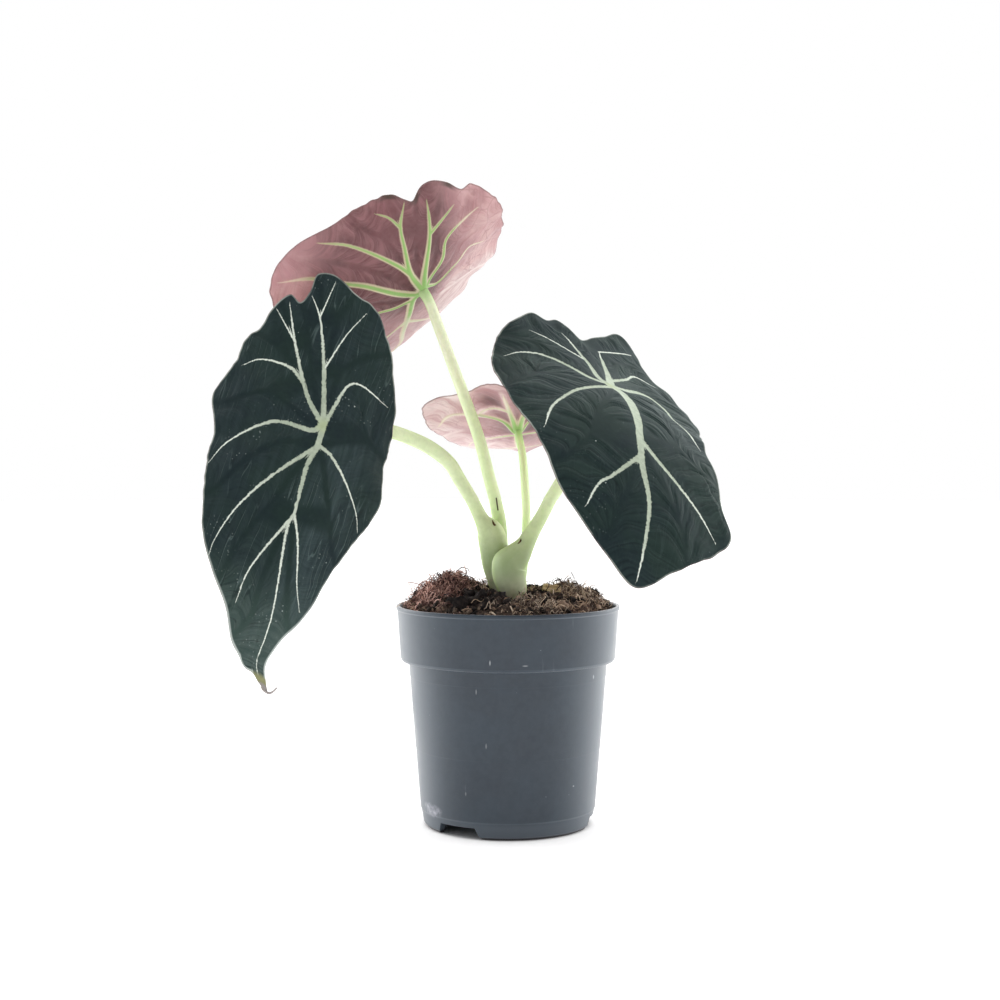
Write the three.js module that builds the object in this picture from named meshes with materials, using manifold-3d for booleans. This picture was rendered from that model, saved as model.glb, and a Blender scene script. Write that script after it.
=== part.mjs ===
// A young black velvet alocasia in a round nursery pot: pot, soil, rootstock, four leaf stalks, four leaf blades.
import * as THREE from 'three';
import { ParametricGeometry } from 'three/addons/geometries/ParametricGeometry.js';
import { mergeGeometries, mergeVertices } from 'three/addons/utils/BufferGeometryUtils.js';
import Module from 'manifold-3d';

const wasm = await Module();
wasm.setup();

// Sizes are millimetres, +Z is up and the pot stands on z = 0. Every list below is measured from the pot's axis.
// The whole plant is then moved so that the middle of its outer box stands over the origin.
const POT_AXIS = [20, -18];
const CLEARANCE = 0.3;
const ROUND = 40;

// The pot: a thin injection-moulded shell with a deep collar under its rim and a raised floor inside a foot ring.
const RIM_RADIUS = 60.2;
const POT_HEIGHT = 118;
const COLLAR_BOTTOM = 88.6;
const FLOOR_UNDERSIDE = 6.5;
const FOOT_OUTER_RADIUS = 43.1;
const POT_OUTSIDE = [
  [0, FLOOR_UNDERSIDE],
  [40.6, FLOOR_UNDERSIDE],
  [41.4, 0],
  [FOOT_OUTER_RADIUS, 0],
  [45.0, 1.2],
  [45.4, 8.2],
  [47.2, 9.4],
  [53.5, 88.0],
  [57.2, COLLAR_BOTTOM],
  [57.9, 90.0],
  [59.6, 115.6],
  [RIM_RADIUS, 116.2],
  [RIM_RADIUS, POT_HEIGHT],
];
const POT_INSIDE = [
  [58.5, POT_HEIGHT],
  [58.2, 116.6],
  [56.7, 91.2],
  [52.4, 90.0],
  [46.1, 12.0],
  [45.6, 9.8],
  [43.8, 7.7],
  [0, 7.7],
];

// Three water gaps are cut through the foot ring, and eight drain holes through the raised floor.
const FOOT_GAPS = 3;
const FIRST_FOOT_GAP_DEG = 234;
const FOOT_GAP_TOP_WIDTH = 22;
const FOOT_GAP_BOTTOM_WIDTH = 28;
const FOOT_GAP_HEIGHT = 6;
const FOOT_GAP_FROM_RADIUS = 34;
const FOOT_GAP_TO_RADIUS = 48;
const DRAIN_HOLES = 8;
const DRAIN_RADIUS = 3.5;
const DRAIN_CIRCLE = 30;
const DRILL_LENGTH = 6;

// The soil fills the pot and is heaped a little above the rim round the stalks.
const SOIL_SIDE = [
  [0, 8.0],
  [43.4, 8.0],
  [45.3, 10.0],
  [45.8, 12.0],
  [52.1, 90.4],
  [56.3, 91.6],
  [57.7, 114.0],
];
const SOIL_RINGS = [53, 46, 38, 30, 22, 14, 7, 0];
const SOIL_EDGE_HEIGHT = 115.5;
const SOIL_CROWN = 10;
const SOIL_HEAPS = [
  { x: -31, y: 3, height: 7, width: 13 },
  { x: 36, y: 2, height: 3, width: 13 },
  { x: 4, y: -17, height: -6, width: 10 },
  { x: -8, y: 34, height: 3, width: 14 },
];
const SOIL_LUMP = 0.9;

// The rootstock is the short thick underground stem, with fleshy roots growing out of its side.
const ROOTSTOCK_CENTRE = [1.5, 2];
const ROOTSTOCK_PROFILE = [
  [0, 68],
  [4.5, 70],
  [8.5, 80],
  [10.5, 94],
  [10.5, 106],
  [9.5, 108],
  [0, 108],
];
const ROOTSTOCK_SHOULDER = 100;
const ROOTS = 8;
const ROOT_PATH = [
  [5, 92],
  [19, 84],
  [31, 66],
  [36, 44],
  [34, 24],
];
const ROOT_RADII = [2.0, 1.8, 1.6, 1.3, 0.9];
const ROOT_DRIFT = 0.12;

// Each leaf stalk follows a list of [x, y, z, radius]. The wide lower part is its sheath.
const STALKS = {
  left: [
    [-2.0, 2.5, 107.0, 4.2],
    [-2.5, 2.5, 118.7, 4.8],
    [-4.3, 2.5, 128.5, 6.0],
    [-6.8, 2.0, 139.3, 7.0],
    [-7.8, 1.0, 148.6, 7.6],
    [-9.3, 0.3, 156.5, 7.3],
    [-10.6, -0.3, 161.3, 6.6],
    [-14.6, -1.0, 165.6, 3.9],
    [-19.4, -2.0, 174.7, 3.5],
    [-25.8, -4.5, 185.5, 3.5],
    [-31.5, -8.0, 194.8, 3.6],
    [-41.8, -13.5, 203.0, 3.7],
    [-52.5, -20.5, 208.2, 3.6],
    [-62.0, -28.5, 211.4, 3.5],
    [-74.0, -39.0, 213.2, 3.3],
    [-85.0, -50.0, 213.5, 3.1],
    [-93.1, -60.0, 213.7, 2.9],
  ],
  right: [
    [4.3, -3.5, 107.0, 4.6],
    [4.3, -5.0, 118.8, 5.2],
    [2.6, -6.0, 126.5, 7.6],
    [0.6, -6.0, 134.5, 8.9],
    [0.9, -6.0, 141.0, 9.0],
    [6.0, -6.0, 146.3, 6.9],
    [9.6, -6.0, 151.4, 4.9],
    [13.4, -6.0, 158.2, 4.0],
    [18.1, -6.0, 166.2, 3.5],
    [22.5, -7.0, 174.8, 3.4],
    [26.7, -8.0, 181.8, 3.4],
    [35.0, -12.0, 196.5, 3.3],
    [45.4, -20.0, 217.0, 3.1],
    [53.8, -30.0, 234.8, 2.9],
  ],
  top: [
    [-0.5, 9.0, 107.0, 3.0],
    [-0.5, 9.0, 119.7, 3.2],
    [-2.2, 9.0, 133.4, 3.5],
    [-3.8, 8.5, 149.8, 3.8],
    [-4.7, 8.0, 162.4, 3.7],
    [-5.8, 8.0, 168.9, 3.6],
    [-7.3, 7.0, 176.0, 3.4],
    [-9.8, 6.0, 185.3, 3.3],
    [-15.4, 4.0, 207.0, 3.2],
    [-24.4, 6.0, 232.5, 3.1],
    [-30.0, 9.0, 247.4, 3.0],
    [-37.2, 12.5, 266.8, 2.9],
    [-43.0, 15.5, 282.5, 2.8],
    [-47.9, 18.0, 290.8, 2.6],
  ],
  small: [
    [6.2, 7.5, 107.0, 2.4],
    [6.2, 8.5, 119.7, 2.4],
    [7.8, 9.0, 133.4, 2.4],
    [9.4, 9.5, 147.1, 2.4],
    [9.9, 11.0, 157.9, 2.3],
    [10.2, 14.0, 166.3, 2.3],
    [9.6, 22.0, 180.0, 2.2],
    [8.3, 37.0, 198.6, 2.1],
    [6.4, 47.0, 209.5, 2.0],
    [5.7, 52.0, 213.8, 1.9],
  ],
};
const STALK_SIDES = 10;

// Each blade is drawn flat as [u, v] points round the place where its stalk joins it, with u along the midrib to
// the tip, and is then bent. Heading and pitch aim the midrib, and roll turns the blade about it. Arch bends the
// midrib and curl bends each half across it, in degrees for each 100 mm. Fold is the angle of each half at the rib.
const BLADES = {
  left: {
    join: [-93.1, -60.0, 213.7],
    heading: 205, pitch: -60, roll: 43,
    archFront: 20, archBack: -12,
    curl: [50, 48], fold: [8, 8], twist: -5, twistGrowth: 0,
    tipTurn: { from: 120, amount: 0.05 },
    wave: 0.7,
    outline: [
      [137, 4], [126, 9], [113, 14], [93, 23], [74, 28], [54, 35], [41, 40], [29, 44], [13, 42], [-5, 39],
      [-27, 35], [-44, 27], [-59, 18], [-72, 7], [-76, -5], [-82, -18], [-80, -26], [-69, -27], [-62, -30],
      [-65, -36], [-56, -42], [-45, -46], [-37, -52], [-22, -54], [-6, -60], [12, -54], [29, -52], [51, -47],
      [71, -41], [88, -30], [103, -18], [117, -9], [128, -2],
    ],
  },
  right: {
    join: [53.8, -30.0, 234.8],
    heading: 160, pitch: -22, roll: 18,
    archFront: 49, archBack: -32,
    curl: [7, 46], fold: [5, 4], twist: 2, twistGrowth: 5,
    wave: 0.7,
    outline: [
      [132, 0], [120, 19], [111, 33], [102, 46], [93, 53], [77, 49], [57, 50], [40, 49], [25, 51], [10, 58],
      [-4, 63], [-18, 62], [-33, 59], [-44, 50], [-56, 44], [-66, 43], [-76, 31], [-68, 19], [-60, 8], [-55, 0],
      [-61, -8], [-65, -14], [-62, -21], [-65, -29], [-56, -40], [-48, -49], [-36, -55], [-22, -60], [-5, -61],
      [18, -61], [41, -57], [63, -50], [84, -44], [104, -31], [120, -16],
    ],
  },
  top: {
    join: [-47.9, 18.0, 290.8],
    heading: -11, pitch: -32, roll: 23,
    archFront: -27, archBack: -94,
    curl: [-12, -16], fold: [4, -12], twist: -4, twistGrowth: 0,
    wave: 0.7,
    outline: [
      [124, 1], [110, 17], [92, 36], [67, 54], [41, 68], [18, 78], [-4, 83], [-22, 86], [-38, 82], [-49, 67],
      [-54, 46], [-59, 29], [-61, 15], [-59, 8], [-54, 1], [-59, -6], [-61, -12], [-58, -22], [-52, -30],
      [-53, -37], [-45, -47], [-34, -54], [-16, -60], [6, -66], [27, -62], [46, -57], [67, -50], [94, -34],
      [111, -16],
    ],
  },
  small: {
    join: [5.7, 52.0, 213.8],
    heading: 1, pitch: -23, roll: -17,
    archFront: -35, archBack: -2,
    curl: [36, 20], fold: [4, -42], twist: -1, twistGrowth: 0,
    wave: 0.5,
    outline: [
      [93, 1], [82, 13], [69, 27], [49, 36], [29, 43], [8, 50], [-11, 54], [-24, 51], [-33, 37], [-41, 25],
      [-51, 13], [-49, 6], [-41, 0], [-49, -8], [-51, -14], [-41, -27], [-31, -38], [-15, -44], [4, -44],
      [27, -39], [49, -31], [70, -22], [85, -9],
    ],
  },
};
const BLADE_THICKNESS = 0.9;
const BLADE_RINGS = [0, 0.07, 0.22, 0.4, 0.58, 0.76, 0.9, 1];
const STALK_BOSS = { height: 1.4, reach: 8 };

const degrees = THREE.MathUtils.degToRad;

function closedBody(geometries) {
  // Joins the faces of one body at their shared points, drops faces of no area and turns the rest outward.
  const bare = geometries.map((geometry) => {
    const copy = geometry.clone();
    copy.deleteAttribute('normal');
    copy.deleteAttribute('uv');
    return copy;
  });
  const joined = mergeVertices(mergeGeometries(bare), 1e-4);
  const kept = [];
  let volume = 0;
  const corners = [new THREE.Vector3(), new THREE.Vector3(), new THREE.Vector3()];
  for (let i = 0; i < joined.index.count; i += 3) {
    const face = [0, 1, 2].map((k) => joined.index.getX(i + k));
    if (new Set(face).size === 3) {
      kept.push(...face);
      face.forEach((vertex, k) => corners[k].fromBufferAttribute(joined.attributes.position, vertex));
      volume += corners[0].dot(corners[1].cross(corners[2]));
    }
  }
  joined.setIndex(volume > 0 ? kept : kept.reverse());
  return joined;
}

function turnedOver(geometry) {
  const copy = geometry.clone();
  copy.setIndex(Array.from(copy.index.array).reverse());
  return copy;
}

function toSolid(geometry) {
  return new wasm.Manifold(new wasm.Mesh({
    numProp: 3,
    vertProperties: new Float32Array(geometry.attributes.position.array),
    triVerts: new Uint32Array(geometry.index.array),
  }));
}

function fromSolid(solid) {
  // A cut can leave crumbs beside the body it was made in. Only the largest body is the piece.
  const pieces = solid.decompose().sort((a, b) => b.volume() - a.volume());
  const { vertProperties, triVerts } = pieces[0].getMesh();
  const geometry = new THREE.BufferGeometry();
  geometry.setAttribute('position', new THREE.BufferAttribute(new Float32Array(vertProperties), 3));
  geometry.setIndex(Array.from(triVerts));
  return geometry;
}

function turned(profile) {
  const points = profile.map(([radius, height]) => new THREE.Vector2(radius, height));
  return closedBody([new THREE.LatheGeometry(points, ROUND).rotateX(Math.PI / 2)]);
}

function potGeometry() {
  let pot = toSolid(turned([...POT_OUTSIDE, ...POT_INSIDE]));
  const gap = new THREE.Shape([
    new THREE.Vector2(-FOOT_GAP_BOTTOM_WIDTH / 2, -1),
    new THREE.Vector2(FOOT_GAP_BOTTOM_WIDTH / 2, -1),
    new THREE.Vector2(FOOT_GAP_TOP_WIDTH / 2, FOOT_GAP_HEIGHT),
    new THREE.Vector2(-FOOT_GAP_TOP_WIDTH / 2, FOOT_GAP_HEIGHT),
  ]);
  for (let i = 0; i < FOOT_GAPS; i += 1) {
    const depth = FOOT_GAP_TO_RADIUS - FOOT_GAP_FROM_RADIUS;
    const block = new THREE.ExtrudeGeometry(gap, { depth, bevelEnabled: false });
    block.rotateX(Math.PI / 2);
    block.translate(0, -FOOT_GAP_FROM_RADIUS, 0);
    block.rotateZ(degrees(FIRST_FOOT_GAP_DEG + 90 + (i * 360) / FOOT_GAPS));
    pot = pot.subtract(toSolid(closedBody([block])));
  }
  for (let i = 0; i < DRAIN_HOLES; i += 1) {
    const turn = degrees((i * 360) / DRAIN_HOLES);
    const drill = new THREE.CylinderGeometry(DRAIN_RADIUS, DRAIN_RADIUS, DRILL_LENGTH, 12).rotateX(Math.PI / 2);
    drill.translate(DRAIN_CIRCLE * Math.cos(turn), DRAIN_CIRCLE * Math.sin(turn), FLOOR_UNDERSIDE);
    pot = pot.subtract(toSolid(closedBody([drill])));
  }
  return fromSolid(pot);
}

function soilHeight(x, y) {
  const out = Math.hypot(x, y) / SOIL_SIDE.at(-1)[0];
  let height = SOIL_EDGE_HEIGHT + SOIL_CROWN * (1 - out ** 3);
  for (const heap of SOIL_HEAPS) {
    const away = Math.hypot(x - heap.x, y - heap.y) / heap.width;
    height += heap.height * Math.exp(-away * away);
  }
  const lumps = Math.sin(x * 0.31 + 1.3) * Math.cos(y * 0.37) + Math.sin((x - y) * 0.53 + 0.4) * 0.6;
  return height + SOIL_LUMP * lumps * Math.min(1, (1 - out) * 6);
}

function soilGeometry(hollows) {
  const top = SOIL_RINGS.map((radius) => [radius, POT_HEIGHT + radius]);
  const body = turned([...SOIL_SIDE, ...top]);
  const position = body.attributes.position;
  for (let i = 0; i < position.count; i += 1) {
    if (position.getZ(i) >= POT_HEIGHT) {
      position.setZ(i, soilHeight(position.getX(i), position.getY(i)));
    }
  }
  return fromSolid(hollows.reduce((soil, hollow) => soil.subtract(hollow), toSolid(body)));
}

function stalkGeometry(points, sides, grow = 0) {
  // A tapering round stalk along a smooth path, closed by a flat face at each end.
  const path = new THREE.CatmullRomCurve3(
    points.map(([x, y, z]) => new THREE.Vector3(x, y, z)), false, 'centripetal',
  );
  const spans = points.length - 1;
  const frames = points.map((point, i) => {
    const forward = path.getTangent(i / spans);
    const side = new THREE.Vector3(0, 1, 0).cross(forward).normalize();
    return { centre: path.getPoint(i / spans), side, up: forward.clone().cross(side), radius: point[3] + grow };
  });
  const surface = new ParametricGeometry((around, along, target) => {
    const row = Math.round(along * (spans + 2));
    const frame = frames[THREE.MathUtils.clamp(row - 1, 0, spans)];
    const radius = row === 0 || row === spans + 2 ? 0 : frame.radius;
    const angle = (Math.round(around * sides) % sides) * ((2 * Math.PI) / sides);
    target.copy(frame.centre);
    target.addScaledVector(frame.side, radius * Math.cos(angle));
    target.addScaledVector(frame.up, radius * Math.sin(angle));
  }, sides, spans + 2);
  return closedBody([surface]);
}

function rootstockGeometry(grow = 0) {
  const profile = ROOTSTOCK_PROFILE.map(([radius, height]) => [
    radius > 0 ? radius + grow : 0,
    height > ROOTSTOCK_SHOULDER ? height + grow : height - grow,
  ]);
  const points = profile.map(([radius, height]) => new THREE.Vector2(radius, height));
  const stock = new THREE.LatheGeometry(points, 12).rotateX(Math.PI / 2);
  stock.translate(ROOTSTOCK_CENTRE[0], ROOTSTOCK_CENTRE[1], 0);
  let solid = toSolid(closedBody([stock]));
  for (let i = 0; i < ROOTS; i += 1) {
    const turn = ((i + 0.3 * Math.sin(i * 2.4)) * 2 * Math.PI) / ROOTS;
    const reach = 1 - 0.12 * Math.cos(i * 1.9);
    const sink = 4 * Math.sin(i * 1.3);
    const root = ROOT_PATH.map(([out, height], k) => [
      ROOTSTOCK_CENTRE[0] + out * reach * Math.cos(turn + ROOT_DRIFT * k),
      ROOTSTOCK_CENTRE[1] + out * reach * Math.sin(turn + ROOT_DRIFT * k),
      height - sink,
      ROOT_RADII[k],
    ]);
    solid = solid.add(toSolid(stalkGeometry(root, 5, grow)));
  }
  return fromSolid(solid);
}

function bladeFrame(blade) {
  const heading = degrees(blade.heading);
  const pitch = degrees(blade.pitch);
  const roll = degrees(blade.roll);
  const along = new THREE.Vector3(
    Math.sin(heading) * Math.cos(pitch), Math.cos(heading) * Math.cos(pitch), Math.sin(pitch),
  );
  const level = new THREE.Vector3(
    -Math.sin(heading) * Math.sin(pitch), -Math.cos(heading) * Math.sin(pitch), Math.cos(pitch),
  );
  const across = level.clone().cross(along);
  const up = level.clone().multiplyScalar(Math.cos(roll)).addScaledVector(across, Math.sin(roll));
  across.multiplyScalar(Math.cos(roll)).addScaledVector(level, -Math.sin(roll));
  return { along, across, up };
}

function bentPoint(blade, u, flatV) {
  // Carries a point of the flat blade to its place on the bent one.
  const perMm = Math.PI / 180 / 100;
  const { along, across, up } = bladeFrame(blade);
  const turn = blade.tipTurn;
  const v = turn && u > turn.from ? flatV + turn.amount * (u - turn.from) ** 2 : flatV;
  const arch = (u > 0 ? blade.archFront : blade.archBack) * perMm;
  const lean = arch * u;
  const point = new THREE.Vector3(...blade.join);
  point.addScaledVector(along, Math.sin(lean) / arch).addScaledVector(up, -(1 - Math.cos(lean)) / arch);
  const rising = along.clone().multiplyScalar(Math.sin(lean)).addScaledVector(up, Math.cos(lean));
  const twist = blade.twist * perMm * u + (blade.twistGrowth * perMm * u * Math.abs(u)) / 100;
  const sideways = across.clone().multiplyScalar(Math.cos(twist)).addScaledVector(rising, Math.sin(twist));
  const normal = rising.clone().multiplyScalar(Math.cos(twist)).addScaledVector(across, -Math.sin(twist));
  const half = v > 0 ? 0 : 1;
  const curl = blade.curl[half] * perMm;
  const fold = degrees(blade.fold[half]) * THREE.MathUtils.clamp(1 + u / 60, 0, 1);
  const end = fold + curl * Math.abs(v);
  const outward = (Math.sin(end) - Math.sin(fold)) / curl;
  const drop = (Math.cos(fold) - Math.cos(end)) / curl;
  return point.addScaledVector(sideways, Math.sign(v) * outward).addScaledVector(normal, -drop);
}

function bladeNormal(blade, u, v) {
  const step = 0.5;
  const along = bentPoint(blade, u + step, v).sub(bentPoint(blade, u - step, v));
  const across = bentPoint(blade, u, v + step).sub(bentPoint(blade, u, v - step));
  return along.cross(across).normalize();
}

function marginWave(blade, ring, u, v) {
  const angle = Math.atan2(v, u);
  return blade.wave * ring ** 3 * (Math.sin(7 * angle + 0.8) + 0.7 * Math.sin(12 * angle));
}

function bladeGeometry(blade, grow = 0) {
  const outline = new THREE.CatmullRomCurve3(
    blade.outline.map(([u, v]) => new THREE.Vector3(u, v, 0)), true, 'centripetal',
  );
  const spokes = 2 * blade.outline.length;
  const half = BLADE_THICKNESS / 2 + grow;
  function place(around, ring, lift, target) {
    const rim = outline.getPoint((Math.round(around * spokes) % spokes) / spokes);
    const u = rim.x * ring * (1 + (grow * 1.5) / rim.length());
    const v = rim.y * ring * (1 + (grow * 1.5) / rim.length());
    const near = Math.hypot(u, v) / STALK_BOSS.reach;
    const boss = lift < 0 ? STALK_BOSS.height * Math.exp(-near * near) : 0;
    const offset = marginWave(blade, ring, rim.x, rim.y) + lift - boss;
    target.copy(bentPoint(blade, u, v)).addScaledVector(bladeNormal(blade, u, v), offset);
  }
  const stacks = BLADE_RINGS.length - 1;
  const face = (lift) => new ParametricGeometry((around, out, target) => {
    place(around, BLADE_RINGS[Math.round(out * stacks)], lift, target);
  }, spokes, stacks);
  const edge = new ParametricGeometry((around, down, target) => {
    place(around, 1, half - 2 * half * down, target);
  }, spokes, 1);
  return closedBody([face(half), edge, turnedOver(face(-half))]);
}

function material(color, roughness) {
  return new THREE.MeshStandardMaterial({ color, roughness, metalness: 0 });
}

const plastic = material(0x4e5862, 0.5);
const peat = material(0x5a4132, 0.95);
const rootSkin = material(0xc9b79a, 0.8);
const stalkSkin = material(0xb9cf8b, 0.5);
const bladeSkin = material(0x26342f, 0.75);

const plant = new THREE.Group();

function addPiece(name, geometry, skin) {
  geometry.computeVertexNormals();
  const mesh = new THREE.Mesh(geometry, skin);
  mesh.name = name;
  plant.add(mesh);
}

const bladeRoom = {};
for (const [name, blade] of Object.entries(BLADES)) {
  addPiece(`${name}_leaf_blade`, bladeGeometry(blade), bladeSkin);
  bladeRoom[name] = toSolid(bladeGeometry(blade, CLEARANCE));
}

// Each sheath wraps the stalks that came up later: the right one is outermost, then the left, the top, the small.
// All four stand on the rootstock's crown.
const WRAPPED_ORDER = ['right', 'left', 'top', 'small'];
const rootstockRoom = toSolid(rootstockGeometry(CLEARANCE));
const stalkRoom = WRAPPED_ORDER.map((name) => toSolid(stalkGeometry(STALKS[name], STALK_SIDES, CLEARANCE)));
WRAPPED_ORDER.forEach((name, order) => {
  let stalk = toSolid(stalkGeometry(STALKS[name], STALK_SIDES));
  stalk = stalk.subtract(bladeRoom[name]).subtract(rootstockRoom);
  for (const inner of stalkRoom.slice(order + 1)) {
    stalk = stalk.subtract(inner);
  }
  addPiece(`${name}_leaf_stalk`, fromSolid(stalk), stalkSkin);
});

addPiece('rootstock', rootstockGeometry(), rootSkin);
addPiece('soil', soilGeometry([rootstockRoom, ...stalkRoom]), peat);
addPiece('pot', potGeometry(), plastic);

plant.position.set(POT_AXIS[0], POT_AXIS[1], 0);
const group = new THREE.Group();
group.add(plant);

export default group;
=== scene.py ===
# A young black velvet alocasia in its nursery pot. Lengths are metres, +Z is up, and each piece is made where
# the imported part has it.
import math
import bmesh
import bpy
import numpy as np
from mathutils import Matrix, Vector, noise


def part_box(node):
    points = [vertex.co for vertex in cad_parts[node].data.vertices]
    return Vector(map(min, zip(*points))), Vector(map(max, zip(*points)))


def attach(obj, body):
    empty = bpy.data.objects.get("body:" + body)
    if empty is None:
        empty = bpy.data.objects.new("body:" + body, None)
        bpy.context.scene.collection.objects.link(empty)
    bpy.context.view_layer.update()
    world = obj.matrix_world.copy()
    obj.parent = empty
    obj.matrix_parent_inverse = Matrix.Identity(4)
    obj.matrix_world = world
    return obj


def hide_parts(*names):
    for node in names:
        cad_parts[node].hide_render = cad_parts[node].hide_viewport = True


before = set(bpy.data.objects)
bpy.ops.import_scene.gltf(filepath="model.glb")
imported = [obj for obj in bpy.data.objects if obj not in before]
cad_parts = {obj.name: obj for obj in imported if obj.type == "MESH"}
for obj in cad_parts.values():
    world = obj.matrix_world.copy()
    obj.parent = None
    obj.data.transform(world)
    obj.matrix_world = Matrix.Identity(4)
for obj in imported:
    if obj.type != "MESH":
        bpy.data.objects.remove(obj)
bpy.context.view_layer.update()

# The pot is one thin shell of grey polypropylene, injection moulded, with a deep collar under its rim, a foot
# ring with three water gaps and a raised floor with eight drain holes. Faint steps show where the parts of the
# mould met.
MM = 0.001
pot_low, pot_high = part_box("pot")
AXIS = Vector(((pot_low.x + pot_high.x) / 2, (pot_low.y + pot_high.y) / 2, 0))
RIM_RADIUS = (pot_high.x - pot_low.x) / 2 / MM
POT_HEIGHT = pot_high.z / MM
MOULD_STEP = 0.12
POT_OUTSIDE = [
    (0, 6.5), (40.6, 6.5), (41.4, 0), (44.0, 0), (45.6, 1.8), (46.7, 8.4), (46.7 + MOULD_STEP, 8.7),
    (47.2, 9.4), (49.75, 41.4), (49.75 + MOULD_STEP, 41.7), (52.85, 79.9), (52.85 + MOULD_STEP, 80.2),
    (53.5, 88.0), (57.2, 88.6), (57.9, 90.0), (59.6, 115.6), (RIM_RADIUS, 116.2), (RIM_RADIUS, POT_HEIGHT),
]
POT_INSIDE = [
    (58.5, POT_HEIGHT), (58.2, 116.6), (56.7, 91.2), (52.4, 90.0), (46.1, 12.0), (45.6, 9.8), (43.8, 7.7),
    (0, 7.7),
]
POT_ROUNDING = 0.35
POT_STEPS = 180
FOOT_GAP_TURNS = (234, 354, 114)
FOOT_GAP = {"top": 22, "bottom": 28, "height": 7, "below": 1, "depth": 14, "radius": 41}
DRAIN_HOLES = {"count": 8, "radius": 3.5, "circle": 30, "height": 7.1, "depth": 6}
CRISP_ANGLE = math.radians(40)


def piece(name, bm):
    """Makes a smooth object of a finished bmesh. Edges sharper than a soft bend stay crisp."""
    mesh = bpy.data.meshes.new(name)
    bm.to_mesh(mesh)
    bm.free()
    mesh.shade_smooth()
    mesh.set_sharp_from_angle(angle=CRISP_ANGLE)
    made = bpy.data.objects.new(name, mesh)
    bpy.context.scene.collection.objects.link(made)
    return made


def turned(profile, steps, rounding=0.0):
    """A body turned about the pot's axis from its half section, which starts and ends on the axis."""
    bm = bmesh.new()
    points = [bm.verts.new((radius * MM, 0, height * MM)) for radius, height in profile]
    for start, end in zip(points, points[1:]):
        bm.edges.new((start, end))
    if rounding:
        bmesh.ops.bevel(
            bm, geom=points[1:-1], offset=rounding * MM, offset_type="OFFSET", segments=3,
            profile=0.5, affect="VERTICES", material=-1, clamp_overlap=True,
        )
    bmesh.ops.spin(
        bm, geom=bm.verts[:] + bm.edges[:], cent=(0, 0, 0), axis=(0, 0, 1), angle=2 * math.pi,
        steps=steps, use_merge=True,
    )
    bmesh.ops.remove_doubles(bm, verts=bm.verts, dist=1e-7)
    bmesh.ops.recalc_face_normals(bm, faces=bm.faces)
    bmesh.ops.translate(bm, verts=bm.verts, vec=AXIS)
    return bm


def settle(target):
    """Applies the modifiers of an object to its mesh."""
    depsgraph = bpy.context.evaluated_depsgraph_get()
    finished = bpy.data.meshes.new_from_object(target.evaluated_get(depsgraph))
    target.modifiers.clear()
    target.data = finished


pot_shell = piece("pot_shell", turned(POT_OUTSIDE + POT_INSIDE, POT_STEPS, rounding=POT_ROUNDING))
cutter = bmesh.new()
for turn in FOOT_GAP_TURNS:
    block = bmesh.ops.create_cube(cutter, size=1)["verts"]
    for corner in block:
        width = FOOT_GAP["top"] if corner.co.z > 0 else FOOT_GAP["bottom"]
        corner.co.y *= width
    bmesh.ops.scale(cutter, verts=block, vec=(FOOT_GAP["depth"] * MM, MM, FOOT_GAP["height"] * MM))
    middle = (FOOT_GAP["height"] / 2 - FOOT_GAP["below"]) * MM
    bmesh.ops.translate(cutter, verts=block, vec=(FOOT_GAP["radius"] * MM, 0, middle))
    bmesh.ops.rotate(cutter, verts=block, cent=(0, 0, 0), matrix=Matrix.Rotation(math.radians(turn), 3, "Z"))
for hole in range(DRAIN_HOLES["count"]):
    turn = hole * 2 * math.pi / DRAIN_HOLES["count"]
    drilled = Vector((math.cos(turn), math.sin(turn), 0)) * DRAIN_HOLES["circle"] * MM
    drilled.z = DRAIN_HOLES["height"] * MM
    radius = DRAIN_HOLES["radius"] * MM
    bmesh.ops.create_cone(
        cutter, cap_ends=True, segments=32, radius1=radius, radius2=radius, depth=DRAIN_HOLES["depth"] * MM,
        matrix=Matrix.Translation(drilled),
    )
bmesh.ops.translate(cutter, verts=cutter.verts, vec=AXIS)
drill = piece("drill", cutter)
cut = pot_shell.modifiers.new("cut", "BOOLEAN")
cut.operation = "DIFFERENCE"
cut.solver = "EXACT"
cut.object = drill
settle(pot_shell)
bpy.data.objects.remove(drill)
pot_shell.data.shade_smooth()
pot_shell.data.set_sharp_from_angle(angle=CRISP_ANGLE)


def paint(red, green, blue, strength=None):
    """A colour as a paint chart gives it, 0 to 255, turned to the shader's own scale. A colour with a fourth
    value has that scale already."""
    if strength is not None:
        return red, green, blue, strength
    parts = [value / 255 for value in (red, green, blue)]
    return tuple(p / 12.92 if p <= 0.04045 else ((p + 0.055) / 1.055) ** 2.4 for p in parts) + (1.0,)


def add(kind, inputs=(), **settings):
    """One shader node in the tree at hand. Inputs are named or in order, each a value or what feeds it."""
    made = tree.nodes.new("ShaderNode" + kind)
    for key, value in settings.items():
        setattr(made, key, value)
    for key, value in inputs.items() if isinstance(inputs, dict) else enumerate(inputs):
        if isinstance(value, bpy.types.NodeSocket):
            tree.links.new(value, made.inputs[key])
        else:
            made.inputs[key].default_value = value
    return made


def maths(operation, *values):
    return add("Math", values, operation=operation).outputs[0]


def times(first, *rest):
    """Masks and numbers multiplied."""
    return maths("MULTIPLY", first, times(*rest)) if rest else first


def plus(first, second):
    return maths("ADD", first, second)


def minus(first, second):
    return maths("SUBTRACT", first, second)


def vectors(operation, *values):
    return add("VectorMath", values, operation=operation).outputs


def ramp(value, low, high, start=0.0, end=1.0):
    """Value between low and high, smoothly turned to start and end."""
    return add("MapRange", [value, low, high, start, end], interpolation_type="SMOOTHSTEP").outputs[0]


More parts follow.
